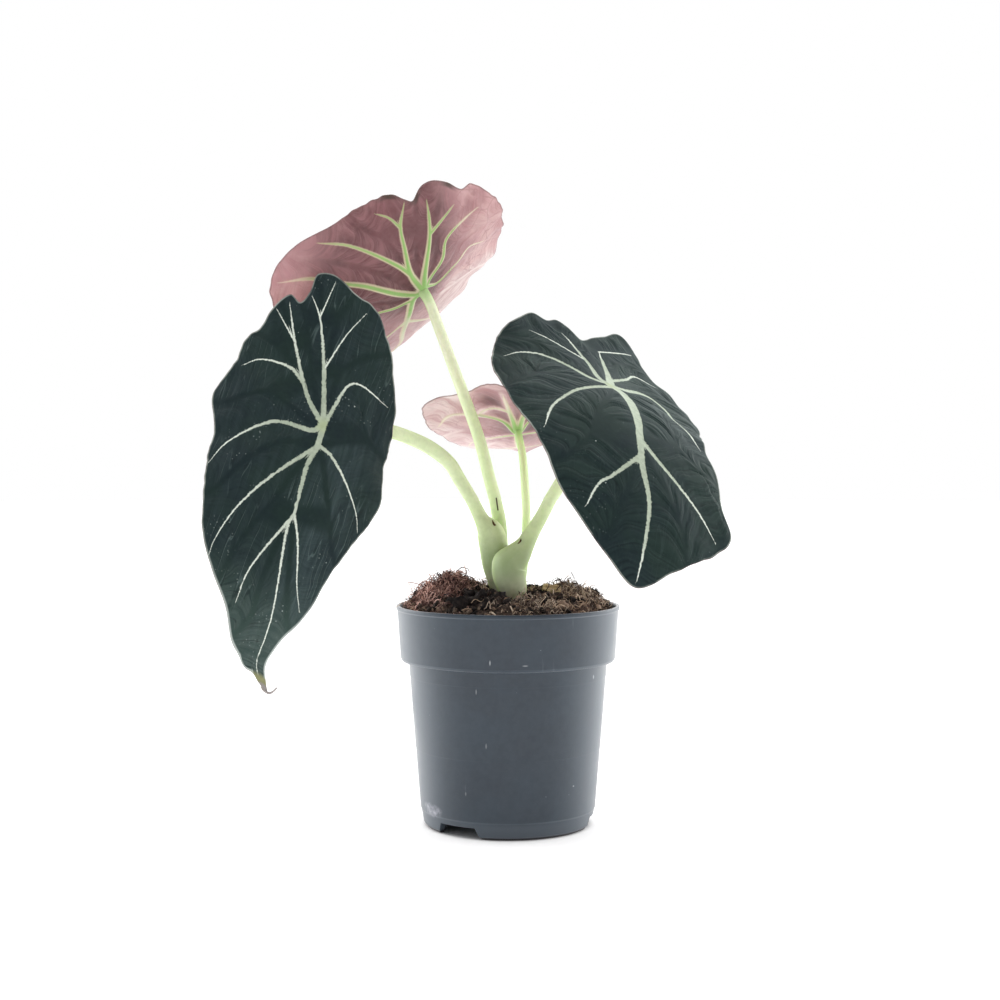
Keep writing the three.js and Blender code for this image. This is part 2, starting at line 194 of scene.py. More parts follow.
def tint(amount, below, above):
    """One paint turned to another by a mask. A paint is a socket or a tuple as a paint chart gives it."""
    below, above = (paint(*colour) if isinstance(colour, tuple) else colour for colour in (below, above))
    return add("Mix", {0: amount, 6: below, 7: above}, data_type="RGBA").outputs[2]


def over(under, colour, *share):
    """A coat of paint over what is under it, as thick as its masks and numbers multiplied."""
    return tint(times(*share), under, colour)


def finish_of(name, **fixed):
    """A material, its node tree, its own Principled shader and the place on the object. What is fixed is set on
    the shader's own sockets."""
    made = bpy.data.materials.new(name)
    made.use_nodes = True
    nodes = made.node_tree.nodes
    shader = nodes["Principled BSDF"]
    for key, value in fixed.items():
        shader.inputs[key.replace("_", " ")].default_value = value
    return made, made.node_tree, shader, nodes.new("ShaderNodeTexCoord").outputs["Object"]


def feed(socket, source):
    """Gives one value of the shader at hand its source."""
    tree.links.new(source, shader.inputs[socket])


def skin(colour, mask, low, high):
    """Gives the shader at hand its colour, and its roughness from low to high over a mask."""
    feed("Base Color", colour)
    feed("Roughness", ramp(mask, 0.0, 1.0, low, high))


def relief(height, strength, depth):
    """Gives the shader at hand a fine relief, in metres."""
    feed("Normal", add("Bump", {"Strength": strength, "Distance": depth, "Height": height}).outputs[0])


def effect(name, sockets_in, sockets_out):
    """An empty node group with named inputs and outputs, and its two end nodes."""
    group = bpy.data.node_groups.new(name, "ShaderNodeTree")
    for label, kind in sockets_in.items():
        group.interface.new_socket(label, in_out="INPUT", socket_type="NodeSocket" + kind)
    for label in sockets_out:
        group.interface.new_socket(label, in_out="OUTPUT", socket_type="NodeSocketFloat")
    return group, group.nodes.new("NodeGroupInput").outputs, group.nodes.new("NodeGroupOutput").inputs


def use(group, **values):
    """Places a group in the tree at hand, with its own values, and gives its outputs."""
    return add("Group", values, node_tree=group).outputs


# Dust specks are grit and fluff from the air that settled on the pot and on the leaves. A few cells of a fine
# mosaic hold one speck each.
tree, given, result = effect(
    "dust_specks", {"Vector": "Vector", "Scale": "Float", "Share": "Float", "Size": "Float"}, ["Mask"],
)
mosaic = add("TexVoronoi", {"Vector": given["Vector"], "Scale": given["Scale"]}).outputs
chosen = maths("LESS_THAN", add("SeparateColor", [mosaic["Color"]]).outputs[0], given["Share"])
tree.links.new(times(chosen, maths("LESS_THAN", mosaic["Distance"], given["Size"])), result["Mask"])
dust = tree


def dust_specks(scale, share, size):
    return use(dust, Vector=place, Scale=scale, Share=share, Size=size)[0]


# Mottling is the cloudy change of tone that every grown or worn surface has, from 0 to 1. It is one noise for
# all, in a scale that suits each material.
tree, given, result = effect(
    "mottling", {"Vector": "Vector", "Scale": "Float", "Low": "Float", "High": "Float"}, ["Tone"],
)
clouds = add("TexNoise", {
    "Vector": given["Vector"], "Scale": given["Scale"], "Detail": 5.0, "Roughness": 0.6,
}).outputs[0]
spread = add("MapRange", [clouds, given["Low"], given["High"]], interpolation_type="SMOOTHSTEP").outputs[0]
tree.links.new(spread, result["Tone"])
mottle = tree


def mottling(scale, low, high, at=None):
    return use(mottle, Vector=place if at is None else at, Scale=scale, Low=low, High=high)[0]


def grained(scale, detail, at=None):
    return add("TexNoise", {"Vector": place if at is None else at, "Scale": scale, "Detail": detail}).outputs[0]


def away_from(middle, stretch):
    """How far the place is from a middle, with each axis stretched by its own amount."""
    apart = vectors("SUBTRACT", place, middle)[0]
    return vectors("LENGTH", vectors("MULTIPLY", apart, stretch)[0])["Value"]


plastic, tree, shader, place = finish_of("pot_plastic", IOR=1.48)
cloud = mottling(28.0, 0.35, 0.7)
fine = mottling(260.0, 0.3, 0.7)
grey = tint(cloud, (35, 47, 59), (43, 56, 68))
grey = over(grey, (72, 82, 91), fine, 0.12)
# Rubbed marks run mostly upright, where pots slide in and out of each other.
stretched = add("Mapping", {"Vector": place, "Scale": (230, 230, 30)}).outputs[0]
rubs = mottling(1.0, 0.66, 0.78, at=stretched)
grey = over(grey, (120, 128, 134), rubs, 0.16)
specks = dust_specks(330.0, 0.03, 0.09)
grey = over(grey, (150, 158, 164), specks, 0.4)
# Hard water has left a whitish patch low on the front left.
LIME_PLACE = AXIS + Vector((-40.5, -24, 11.5)) * MM
LIME_STRETCH = (0.75, 0.75, 1.9)
patch = ramp(away_from(tuple(LIME_PLACE), LIME_STRETCH), 0.0035, 0.009, 0.95, 0.0)
blots = mottling(260.0, 0.3, 0.75)
grey = over(grey, (214, 212, 224), patch, blots)
# A few small scuffs stand out on its front, and one dark fleck.
SCUFFS = [  # x and z in mm, half width, half height and shade
    (-9.4, 93.6, 0.4, 1.5, 176), (8.5, 92.1, 1.6, 0.4, 150), (44.7, 82.7, 0.4, 1.3, 190),
    (-16.5, 77.8, 0.4, 1.6, 128), (-11.4, 49.8, 0.5, 1.6, 120), (34.0, 26.4, 0.5, 0.5, 170),
    (-22.0, 24.0, 0.4, 1.2, 120), (42.6, 41.1, 0.5, 0.5, 30),
]
in_front = maths("LESS_THAN", add("SeparateXYZ", [place]).outputs["Y"], 0.0)
for x, z, half_wide, half_high, shade in SCUFFS:
    away = away_from((AXIS.x + x * MM, 0, z * MM), (1 / (half_wide * MM), 0, 1 / (half_high * MM)))
    grey = over(grey, (shade, shade + 4, shade + 8), ramp(away, 0.3, 1.2, 0.75, 0.0), in_front)
# Seen along its skin the plastic is painted paler, a painted reflection at its edges.
painted_rim_light = add("LayerWeight", {"Blend": 0.5}).outputs["Facing"]
grey = over(grey, (128, 137, 145), ramp(painted_rim_light, 0.07, 0.72, 0.0, 0.49))
# The foot is painted paler, as painted light where it faces the floor, and the edge it stands on is painted
# dark, a painted contact shadow.
height = add("SeparateXYZ", [place]).outputs["Z"]
grey = over(grey, (84, 93, 102), ramp(height, 0.006, 0.011, 0.5, 0.0))
grey = over(grey, (28, 24, 30), ramp(height, 0.0007, 0.0018, 0.95, 0.0))
skin(grey, cloud, 0.28, 0.36)
grain = grained(900.0, 3.0)
lumps = plus(times(grain, 0.25), times(cloud, 0.8))
relief(lumps, 0.12, 0.0004)
pot_shell.data.materials.clear()
pot_shell.data.materials.append(plastic)
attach(pot_shell, "root")
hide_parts("pot")

# The soil is brown peat with coir, filled in round the rootstock by hand. It is pressed against the side and
# the raised floor of the pot, and heaped a little above the rim, where it is loose.
SOIL_SIDE = [(0, 8.0), (43.4, 8.0), (45.3, 10.0), (45.8, 12.0), (52.1, 90.4), (56.3, 91.6), (57.7, 114.0)]
SOIL_RADIUS = 57.7
SOIL_RINGS = 84
SOIL_STEPS = 260
SOIL_EDGE_HEIGHT = 115.5
SOIL_CROWN = 10
SOIL_HEAPS = [  # x, y, rise and width in mm
    (-31, 3, 7, 13), (-46, 1, 4.5, 8), (36, 2, 3, 13), (25, -10, -3.5, 8), (4, -17, -6, 10), (-8, 34, 3, 14),
]
SOIL_LUMPS = {"rise": 2.4, "scale": 0.14}
SOIL_CRUMBLE = {"rise": 2.0, "scale": 0.36, "sink": 1.2}
SOIL_SHIFT = {"reach": 0.35, "scale": 0.6}
WET_PATCH = {"x": -17, "y": -31, "width": 15, "depth": 1.3}
# Every random draw starts from this seed, so each run gives the same soil.
SEED = 11
noise.seed_set(SEED)


def wet_peat(x, y):
    """How black the peat is at a point in mm from the pot's axis: a wet patch is front left of the stalks."""
    across = (x - WET_PATCH["x"]) / WET_PATCH["width"]
    back = (y - WET_PATCH["y"]) / WET_PATCH["width"]
    return np.minimum(1, WET_PATCH["depth"] * np.exp(-across ** 2 - back ** 2))


def soil_height(x, y):
    """Height of the soil in mm at a point in mm from the pot's axis: a low crown, heaps and crumbly lumps."""
    out = min(1, math.hypot(x, y) / SOIL_RADIUS)
    height = SOIL_EDGE_HEIGHT + SOIL_CROWN * (1 - out ** 3)
    for heap_x, heap_y, rise, width in SOIL_HEAPS:
        height += rise * math.exp(-(((x - heap_x) ** 2 + (y - heap_y) ** 2) / width ** 2))
    coarse, fine = SOIL_LUMPS["scale"], SOIL_CRUMBLE["scale"]
    lumps = SOIL_LUMPS["rise"] * noise.fractal((x * coarse, y * coarse, 2.0), 0.7, 2.0, 3)
    crumbs = SOIL_CRUMBLE["rise"] * noise.turbulence((x * fine, y * fine, 7.0), 3, True) - SOIL_CRUMBLE["sink"]
    return height + (lumps + crumbs) * min(1, (1 - out) * 8)


def corners_of(made):
    corners = np.zeros(len(made.data.vertices) * 3, np.float32)
    made.data.vertices.foreach_get("co", corners)
    return corners.reshape(-1, 3).astype(float)


def mark(made, name, values):
    """Keeps one number for each corner of a mesh, which its material reads by that name."""
    layer = made.data.attributes.new(name, "FLOAT", "POINT")
    layer.data.foreach_set("value", np.ascontiguousarray(values, np.float32).ravel())


def kept(name):
    """The number that a mesh keeps under that name, for the material at hand."""
    return add("Attribute", attribute_name=name).outputs["Fac"]


rings = [(SOIL_RADIUS * (1 - ring / SOIL_RINGS), POT_HEIGHT + 1) for ring in range(1, SOIL_RINGS + 1)]
soil_mesh = turned(SOIL_SIDE + rings, SOIL_STEPS)
for point in soil_mesh.verts:
    if point.co.z > POT_HEIGHT * MM:
        x, y = (point.co.x - AXIS.x) / MM, (point.co.y - AXIS.y) / MM
        point.co.z = soil_height(x, y) * MM
        shift = noise.noise_vector((x * SOIL_SHIFT["scale"], y * SOIL_SHIFT["scale"], 3.0))
        point.co.x += SOIL_SHIFT["reach"] * shift.x * MM
        point.co.y += SOIL_SHIFT["reach"] * shift.y * MM
soil = piece("soil_body", soil_mesh)
corners = corners_of(soil) / MM - np.array(AXIS) / MM
mark(soil, "wet", wet_peat(corners[:, 0], corners[:, 1]))

peat, tree, shader, place = finish_of("peat", Specular_IOR_Level=0.2)
coarse = mottling(70.0, 0.35, 0.65)
fine = mottling(480.0, 0.35, 0.7)
brown = tint(coarse, (32, 27, 26), (90, 76, 68))
brown = over(brown, (120, 102, 90), fine, 0.55)
chips = dust_specks(420.0, 0.08, 0.3)
brown = over(brown, (164, 140, 116), chips, 0.6)
brown = over(brown, (34, 30, 31), kept("wet"), 0.65)
skin(brown, coarse, 0.8, 0.98)
crumbling = add("TexNoise", {"Vector": place, "Scale": 700.0, "Detail": 6.0, "Roughness": 0.7}).outputs[0]
relief(crumbling, 0.9, 0.0012)
soil.data.materials.append(peat)
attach(soil, "root")
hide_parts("soil")

# Clods and crumbs of peat lie loose all over the top, from black lumps as big as peas down to fine grains. They
# broke off as the pot was filled, and those in the wet patch are dark.
CRUMBS = 2000
CLODS = 210
CRUMB_SIZES = {"middle": -0.35, "spread": 0.45, "least": 0.3, "most": 1.8}
CLOD_SIZES = {"middle": 0.5, "spread": 0.35, "least": 1.0, "most": 2.7}
LUMP_ROUGHNESS = {"amount": 0.8, "scale": 1.9}
LUMP_STRETCH = (0.6, 1.4)
WET_DARKENING = 0.8
DARK_CLODS = [  # x, y and size in mm
    (-15, -26, 3.8), (-9, -22, 3.4), (-21, -28, 3.0), (-5, -27, 3.0), (-2, -18, 2.4), (-13, -17, 3.4),
    (-19, -20, 3.2), (-8, -32, 2.8), (-25, -38, 4.4), (-29, -33, 3.4), (-17, -36, 3.6), (17, -10, 2.6),
    (38, -16, 2.6), (27, -22, 2.2),
]
random = np.random.default_rng(SEED)


def many(name, bm, count):
    """Repeats one small shape count times in a single mesh, and gives its corners as [copy, corner, xyz]."""
    made = piece(name, bm)
    each = len(made.data.vertices)
    repeat = made.modifiers.new("repeat", "ARRAY")
    repeat.use_relative_offset = False
    repeat.count = count
    settle(made)
    corners = np.zeros(count * each * 3, np.float32)
    made.data.vertices.foreach_get("co", corners)
    return made, corners.reshape(count, each, 3)


def place_corners(made, corners):
    made.data.vertices.foreach_set("co", np.ascontiguousarray(corners, np.float32).ravel())
    made.data.update()


def any_turns(count):
    """Random rotation matrices, evenly spread."""
    spin = random.normal(size=(count, 4))
    w, x, y, z = (spin / np.linalg.norm(spin, axis=1, keepdims=True)).T
    return np.stack([
        1 - 2 * (y * y + z * z), 2 * (x * y - z * w), 2 * (x * z + y * w),
        2 * (x * y + z * w), 1 - 2 * (x * x + z * z), 2 * (y * z - x * w),
        2 * (x * z - y * w), 2 * (y * z + x * w), 1 - 2 * (x * x + y * y),
    ], axis=1).reshape(count, 3, 3)


def on_soil(x, y, lift=0.0):
    """Points on the soil in metres, from places in mm from the pot's axis."""
    heights = np.array([soil_height(a, b) for a, b in zip(x, y)]) + lift
    return np.stack([x * MM + AXIS.x, y * MM + AXIS.y, heights * MM], axis=1)


def strewn_lumps(name, subdivisions, spots, size, tone, lift):
    """Rough rounded lumps of the given sizes in mm, turned any way and sunk a little in the soil."""
    count = len(spots)
    lump = bmesh.new()
    bmesh.ops.create_icosphere(lump, subdivisions=subdivisions, radius=1.0)
    made, corners = many(name, lump, count)
    shape = corners[0].astype(float)
    amount, scale = LUMP_ROUGHNESS["amount"], LUMP_ROUGHNESS["scale"]
    rough = np.array([
        [1 + amount * noise.noise(Vector(c * scale + (31 * k, 7 * k, 0))) for c in shape]
        for k in range(count)
    ])
    stretch = random.uniform(*LUMP_STRETCH, (count, 1, 3))
    shaped = corners * size[:, None, None] * MM * stretch * rough[..., None]
    shaped = np.einsum("nij,nkj->nki", any_turns(count), shaped)
    seats = on_soil(spots[:, 0], spots[:, 1], lift=lift)
    place_corners(made, shaped + seats[:, None, :])
    tone = tone * (1 - WET_DARKENING * wet_peat(spots[:, 0], spots[:, 1]))
    mark(made, "tone", np.repeat(tone, corners.shape[1]))
    return made


def anywhere(count, margin):
    """Random places in mm from the pot's axis, spread evenly up to a margin from the pot."""
    out = (SOIL_RADIUS - margin) * np.sqrt(random.uniform(0, 1, count))
    turn = random.uniform(0, 2 * np.pi, count)
    return np.stack([out * np.cos(turn), out * np.sin(turn)], 1)


def mixed_sizes(count, middle, spread, least, most):
    """Random sizes in mm, a few of them much larger than most. Middle and spread are those of the logarithm."""
    return np.clip(random.lognormal(middle, spread, count), least, most)


crumbs = strewn_lumps(
    "soil_crumbs", 1, anywhere(CRUMBS, 2.5), mixed_sizes(CRUMBS, **CRUMB_SIZES),
    random.uniform(0, 1, CRUMBS), 0.2,
)
dark = np.array(DARK_CLODS)
clods = strewn_lumps(
    "soil_clods", 2, np.vstack([anywhere(CLODS, 5), dark[:, :2]]),
    np.concatenate([mixed_sizes(CLODS, **CLOD_SIZES), dark[:, 2]]),
    np.concatenate([random.uniform(0, 0.8, CLODS) ** 2.2, np.zeros(len(dark))]), 0.6,
)

crumb_skin, tree, shader, place = finish_of("peat_crumbs", Specular_IOR_Level=0.2)
tone = kept("tone")
fine = mottling(600.0, 0.35, 0.7)
brown = tint(ramp(tone, 0.1, 1.0), (26, 24, 25), (174, 150, 130))
brown = over(brown, (172, 150, 130), fine, ramp(tone, 0.0, 0.5, 0.05, 0.45))
skin(brown, fine, 0.98, 0.82)
relief(grained(900.0, 5.0), 0.8, 0.0006)
for loose in (crumbs, clods):
    loose.data.materials.append(crumb_skin)
    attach(loose, "root")

# Coir fibres, reddish brown and springy, are torn from coconut husk and mixed into the peat. They lie matted in
# tangles, the largest of them on the left heap, and a few long ones lie by themselves.
FIBRES = 2700
FIBRE_LENGTHS = {"middle": 1.6, "spread": 0.4, "least": 2.5, "most": 9}
FIBRE_THICKNESS = (0.12, 0.4)
FIBRE_BOW = (0.12, 0.42)
FIBRE_WAVES = (4.0, 11.0)
FIBRE_LIFT = (-0.3, 2.0)
PALE_FIBRES = 0.45
PALE_TONES = (0.5, 0.9)
DARK_TONES = (0, 0.3)
FIBRE_TAPER = {"base": 1.15, "loss": 0.7}
WET_FIBRES = {"darker": 0.6, "shorter": 0.45}
LONG_FIBRE = {"bow": 0.12, "thickness": 0.27, "tone": 1.0, "lift": 1.6}
TUFTS = [  # x, y, spread in mm, share of all fibres, and how steeply they stand
    (-33, 0, 9, 0.22, 0.3), (-25, -3, 5, 0.14, 0.45), (-44, -8, 7, 0.09, 0.2), (-38, -22, 7, 0.06, 0.15),
    (38, -4, 9, 0.11, 0.25), (30, 3, 4, 0.06, 0.45), (47, -10, 5, 0.04, 0.2), (-8, 36, 14, 0.06, 0.3),
    (14, -38, 12, 0.06, 0.15),
]
LONG_FIBRES = [  # x, y in mm, length, heading as x, y, z
    (-46, -14, 14, (-1.0, -0.1, 0.05)), (-14, -44, 11, (0.8, -0.3, -0.1)), (36, -30, 10, (0.7, -0.2, 0.25)),
    (40, -24, 9, (-0.8, -0.2, 0.6)), (30, 2, 8, (0.5, 0.1, 0.9)), (-24, -46, 11, (0.9, -0.3, -0.15)),
    (-20, -38, 8, (0.8, -0.2, 0.1)), (30, -40, 9, (0.8, -0.1, 0.35)), (35, -36, 7, (-0.3, -0.3, 0.5)),
    (24, -46, 8, (1.0, 0.2, 0.1)),
]


def smooth(values, low, high):
    w = np.clip((values - low) / (high - low), 0, 1)
    return w * w * (3 - 2 * w)


def bent_tubes(corners, start, length, thickness, heading, bow, waves, phases):
    """Lays straight unit cones along curling paths: [copy, corner, xyz] from -0.5 to 0.5 along z."""
    along = corners[..., 2:3] + 0.5
    ahead = heading / np.linalg.norm(heading, axis=1, keepdims=True)
    side = np.cross(ahead, random.normal(size=ahead.shape))
    side /= np.linalg.norm(side, axis=1, keepdims=True)
    other = np.cross(ahead, side)
    ahead, side, other = (v[:, None, :] for v in (ahead, side, other))
    spine = ahead * along
    run = ahead
    for k, way in enumerate((side, other)):
        swing, waving, phase = (v[:, None, k:k + 1] for v in (bow, waves, phases))
        spine = spine + way * swing * (np.sin(waving * along + phase) - np.sin(phase))
        run = run + way * swing * waving * np.cos(waving * along + phase)
    run /= np.linalg.norm(run, axis=2, keepdims=True)
    across = np.cross(run, side + 0.37 * other)
    across /= np.linalg.norm(across, axis=2, keepdims=True)
    up = np.cross(run, across)
    section = (across * corners[..., 0:1] + up * corners[..., 1:2]) * thickness[:, None, None]
    section = section * (FIBRE_TAPER["base"] - FIBRE_TAPER["loss"] * along)
    return start[:, None, :] + spine * length[:, None, None] + section


def thread(sides, cuts):
    """A straight unit cone from z -0.5 to 0.5, with rings between its ends."""
    bm = bmesh.new()
    bmesh.ops.create_cone(bm, cap_ends=True, segments=sides, radius1=1.0, radius2=1.0, depth=1.0)
    upright = [edge for edge in bm.edges if abs(edge.verts[0].co.z - edge.verts[1].co.z) > 0.5]
    bmesh.ops.subdivide_edges(bm, edges=upright, cuts=cuts)
    return bm


fibres, corners = many("coir_fibres", thread(3, 6), FIBRES)
tuft_of = random.choice(len(TUFTS) + 1, FIBRES, p=[t[3] for t in TUFTS] + [1 - sum(t[3] for t in TUFTS)])
tufts = np.array(TUFTS + [(0, 0, 0, 0, 0.1)])[tuft_of]
spots = tufts[:, :2] + random.normal(size=(FIBRES, 2)) * tufts[:, 2:3] * (0.75, 0.9)
spots = np.where((tuft_of == len(TUFTS))[:, None], anywhere(FIBRES, 4), spots)
spots /= np.maximum(1, np.linalg.norm(spots, axis=1, keepdims=True) / (SOIL_RADIUS - 4))
heading = random.normal(size=(FIBRES, 3))
heading[:, 2] = np.abs(heading[:, 2]) * tufts[:, 4] * 0.7
length = mixed_sizes(FIBRES, **FIBRE_LENGTHS)
length *= np.clip((SOIL_RADIUS + 3 - np.linalg.norm(spots, axis=1)) / 12, 0.25, 1)
thickness = random.uniform(*FIBRE_THICKNESS, FIBRES)
bow = random.uniform(*FIBRE_BOW, (FIBRES, 2))
is_pale = random.uniform(0, 1, FIBRES) < PALE_FIBRES
tone = np.where(is_pale, random.uniform(*PALE_TONES, FIBRES), random.uniform(*DARK_TONES, FIBRES))
lift = random.uniform(*FIBRE_LIFT, FIBRES) * np.clip(tufts[:, 4] * 2, 0.3, 1)
wet = wet_peat(spots[:, 0], spots[:, 1])
tone *= 1 - WET_FIBRES["darker"] * wet
length *= 1 - WET_FIBRES["shorter"] * wet
for number, (x, y, reach, way) in enumerate(LONG_FIBRES):
    spots[number] = x, y
    length[number] = reach
    heading[number] = way
bow[:len(LONG_FIBRES)] = LONG_FIBRE["bow"]
thickness[:len(LONG_FIBRES)] = LONG_FIBRE["thickness"]
tone[:len(LONG_FIBRES)] = LONG_FIBRE["tone"]
lift[:len(LONG_FIBRES)] = LONG_FIBRE["lift"]
shaped = bent_tubes(
    corners, on_soil(spots[:, 0], spots[:, 1], lift=lift), length * MM, thickness * MM, heading, bow,
    random.uniform(*FIBRE_WAVES, (FIBRES, 2)), random.uniform(0, 6.3, (FIBRES, 2)),
)
place_corners(fibres, shaped)
mark(fibres, "tone", np.repeat(tone, corners.shape[1]))
mark(fibres, "redness", np.repeat(smooth(-spots[:, 0], 12, 26), corners.shape[1]))

coir, tree, shader, place = finish_of("coir", Specular_IOR_Level=0.3)
tone = kept("tone")
plain = tint(ramp(tone, 0.0, 0.9), (50, 41, 36), (240, 220, 196))
red = tint(ramp(tone, 0.0, 0.9), (70, 42, 40), (250, 206, 192))
red = tint(kept("redness"), plain, red)
red = over(red, (206, 182, 156), ramp(tone, 0.9, 1.0))
fine = mottling(300.0, 0.3, 0.7)
red = over(red, (84, 56, 46), fine, 0.3)
skin(red, fine, 0.6, 0.85)
fibres.data.materials.append(coir)
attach(fibres, "root")

# A tan chip of bark lies right of the stalks, with smaller ones round the pot. They are flakes of pine bark
# that came with the soil, and lie loose on it.
BARK_CHIPS = [  # x, y in mm, length, width, thickness in mm, turn, tilt and tip forward in degrees
    (23.5, -4, 9.5, 6, 1.8, 4, 6, 34), (10, -35, 4, 2.5, 1.2, 70, -10, 0), (-14, 22, 6, 4, 1.4, 130, 12, 0),
    (30, 24, 5, 3, 1.2, 30, 8, 0),
]
BARK_ROUGHNESS = {"reach": 0.0011, "scale": 380}


def roughen(bm, reach, scale):
    """Moves each corner a little, any way."""
    for point in bm.verts:
        point.co += reach * noise.noise_vector(point.co * scale)


bark_mesh = bmesh.new()
for x, y, long, wide, thick, turn, tilt, tip in BARK_CHIPS:
    chip = bmesh.ops.create_cube(bark_mesh, size=1)["verts"]
    seat = on_soil(np.array([x]), np.array([y]), lift=thick * 0.6 + tip * 0.055)[0]
    pose = Matrix.Translation(seat) @ Matrix.Rotation(math.radians(turn), 4, "Z")
    pose = pose @ Matrix.Rotation(math.radians(tilt), 4, "Y") @ Matrix.Rotation(math.radians(tip), 4, "X")
    pose = pose @ Matrix.Diagonal((long * MM, wide * MM, thick * MM, 1))
    bmesh.ops.transform(bark_mesh, matrix=pose, verts=chip)
bmesh.ops.subdivide_edges(bark_mesh, edges=bark_mesh.edges[:], cuts=4, use_grid_fill=True, smooth=0.15)
roughen(bark_mesh, **BARK_ROUGHNESS)
bark = piece("bark_chips", bark_mesh)
bark_skin, tree, shader, place = finish_of("bark", Specular_IOR_Level=0.25)
layers = add("Mapping", {"Vector": place, "Scale": (120, 420, 900)}).outputs[0]
grain = mottling(1.0, 0.3, 0.7, at=layers)
tan = tint(grain, (150, 128, 94), (222, 204, 160))
skin(tan, grain, 0.7, 0.9)
relief(grain, 0.6, 0.0005)
bark.data.materials.append(bark_skin)
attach(bark, "root")

# The rootstock is the short thick stem under the soil, corky and ringed, that the stalks grow from. Fleshy
# roots grow out of its side and down through the soil.
ROOTSTOCK_CENTRE = (1.5, 2)
ROOTSTOCK_PROFILE = [
    (0, 68), (3, 68.6), (4.8, 70.5), (7, 75), (8.7, 80.5), (9.3, 82), (9.6, 86), (10.4, 88), (10.2, 93),
    (10.6, 95), (10.3, 100), (10.6, 102), (10.2, 106.5), (9.4, 107.8), (0, 107.9),
]
ROOTS = 8
ROOT_PATH = [(5, 92), (19, 84), (31, 66), (36, 44), (34, 24)]
ROOT_RADII = [2.0, 1.8, 1.6, 1.3, 0.9]
ROOT_DRIFT = 0.12


def through(points, t, closed=False):
    """Points of a smooth curve through a list of points, at t from 0 to 1. Spans are paced by their lengths."""
    points = np.asarray(points, float)
    count = len(points)
    spans = count if closed else count - 1
    if closed:
        padded = np.vstack([points[-1:], points, points[:2]])
    else:
        padded = np.vstack([2 * points[:1] - points[1:2], points, 2 * points[-1:] - points[-2:-1]])
    position = np.clip(np.asarray(t, float) * spans, 0, spans - 1e-9)
    span = position.astype(int)
    w = (position - span)[:, None]
    p0, p1, p2, p3 = (padded[span + k] for k in range(4))
    d0, d1, d2 = (
        np.linalg.norm(b - a, axis=1, keepdims=True) ** 0.5 for a, b in ((p0, p1), (p1, p2), (p2, p3))
    )
    leave = ((p1 - p0) / d0 - (p2 - p0) / (d0 + d1) + (p2 - p1) / d1) * d1
    arrive = ((p2 - p1) / d1 - (p3 - p1) / (d1 + d2) + (p3 - p2) / d2) * d1
    return (
        p1 + leave * w + (-3 * p1 + 3 * p2 - 2 * leave - arrive) * w ** 2
        + (2 * p1 - 2 * p2 + leave + arrive) * w ** 3
    )


def stem(corners, points):
    """What carries a unit cone to a stem along [x, y, z, radius] in mm from the pot's axis: for each corner the
    middle of the stem, its radius, the way out, the place along it from 0 to 1, and the angle round it."""
    along = corners[:, 2] + 0.5
    centre = through(points, along)
    step = 0.9 / (len(points) - 1)
    ahead = through(points, np.minimum(along + step, 1)) - through(points, np.maximum(along - step, 0))
    ahead = ahead[:, :3] / np.linalg.norm(ahead[:, :3], axis=1, keepdims=True)
    side = np.cross((0, 1, 0), ahead)
    side /= np.linalg.norm(side, axis=1, keepdims=True)
    up = np.cross(ahead, side)
    angle = np.arctan2(corners[:, 1], corners[:, 0])
    outward = side * np.cos(angle)[:, None] + up * np.sin(angle)[:, None]
    return centre[:, :3], centre[:, 3], outward, along, angle


def in_place(points):
    """Points in mm from the pot's axis, carried to their place in metres."""
    return points * MM + np.array(AXIS)


stock_mesh = turned(ROOTSTOCK_PROFILE, 48, rounding=0.3)
stock_place = (ROOTSTOCK_CENTRE[0] * MM, ROOTSTOCK_CENTRE[1] * MM, 0)
bmesh.ops.translate(stock_mesh, verts=stock_mesh.verts, vec=stock_place)
rootstock = piece("rootstock_stem", stock_mesh)
roots = []
for i in range(ROOTS):
    turn = (i + 0.3 * math.sin(i * 2.4)) * 2 * math.pi / ROOTS
    reach = 1 - 0.12 * math.cos(i * 1.9)
    sink = 4 * math.sin(i * 1.3)
    path = [(
        ROOTSTOCK_CENTRE[0] + out * reach * math.cos(turn + ROOT_DRIFT * k),
        ROOTSTOCK_CENTRE[1] + out * reach * math.sin(turn + ROOT_DRIFT * k),
        height - sink, ROOT_RADII[k],
    ) for k, (out, height) in enumerate(ROOT_PATH)]
    root = piece(f"root_{i}", thread(14, 40))
    centre, radius, outward, along, angle = stem(corners_of(root), path)
    radius *= 1 + 0.06 * np.sin(60 * along + i) * np.sin(23 * along)
    place_corners(root, in_place(centre + outward * radius[:, None]))
    roots.append(root)
root_skin, tree, shader, place = finish_of("root_skin", Specular_IOR_Level=0.35)
cloud = mottling(120.0, 0.3, 0.7)
cream = tint(cloud, (150, 118, 84), (214, 196, 160))
skin(cream, cloud, 0.6, 0.85)
relief(cloud, 0.4, 0.0006)
with bpy.context.temp_override(active_object=rootstock, selected_editable_objects=[rootstock, *roots]):
    bpy.ops.object.join()
rootstock.data.materials.clear()
rootstock.data.materials.append(root_skin)
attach(rootstock, "root")
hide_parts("rootstock")

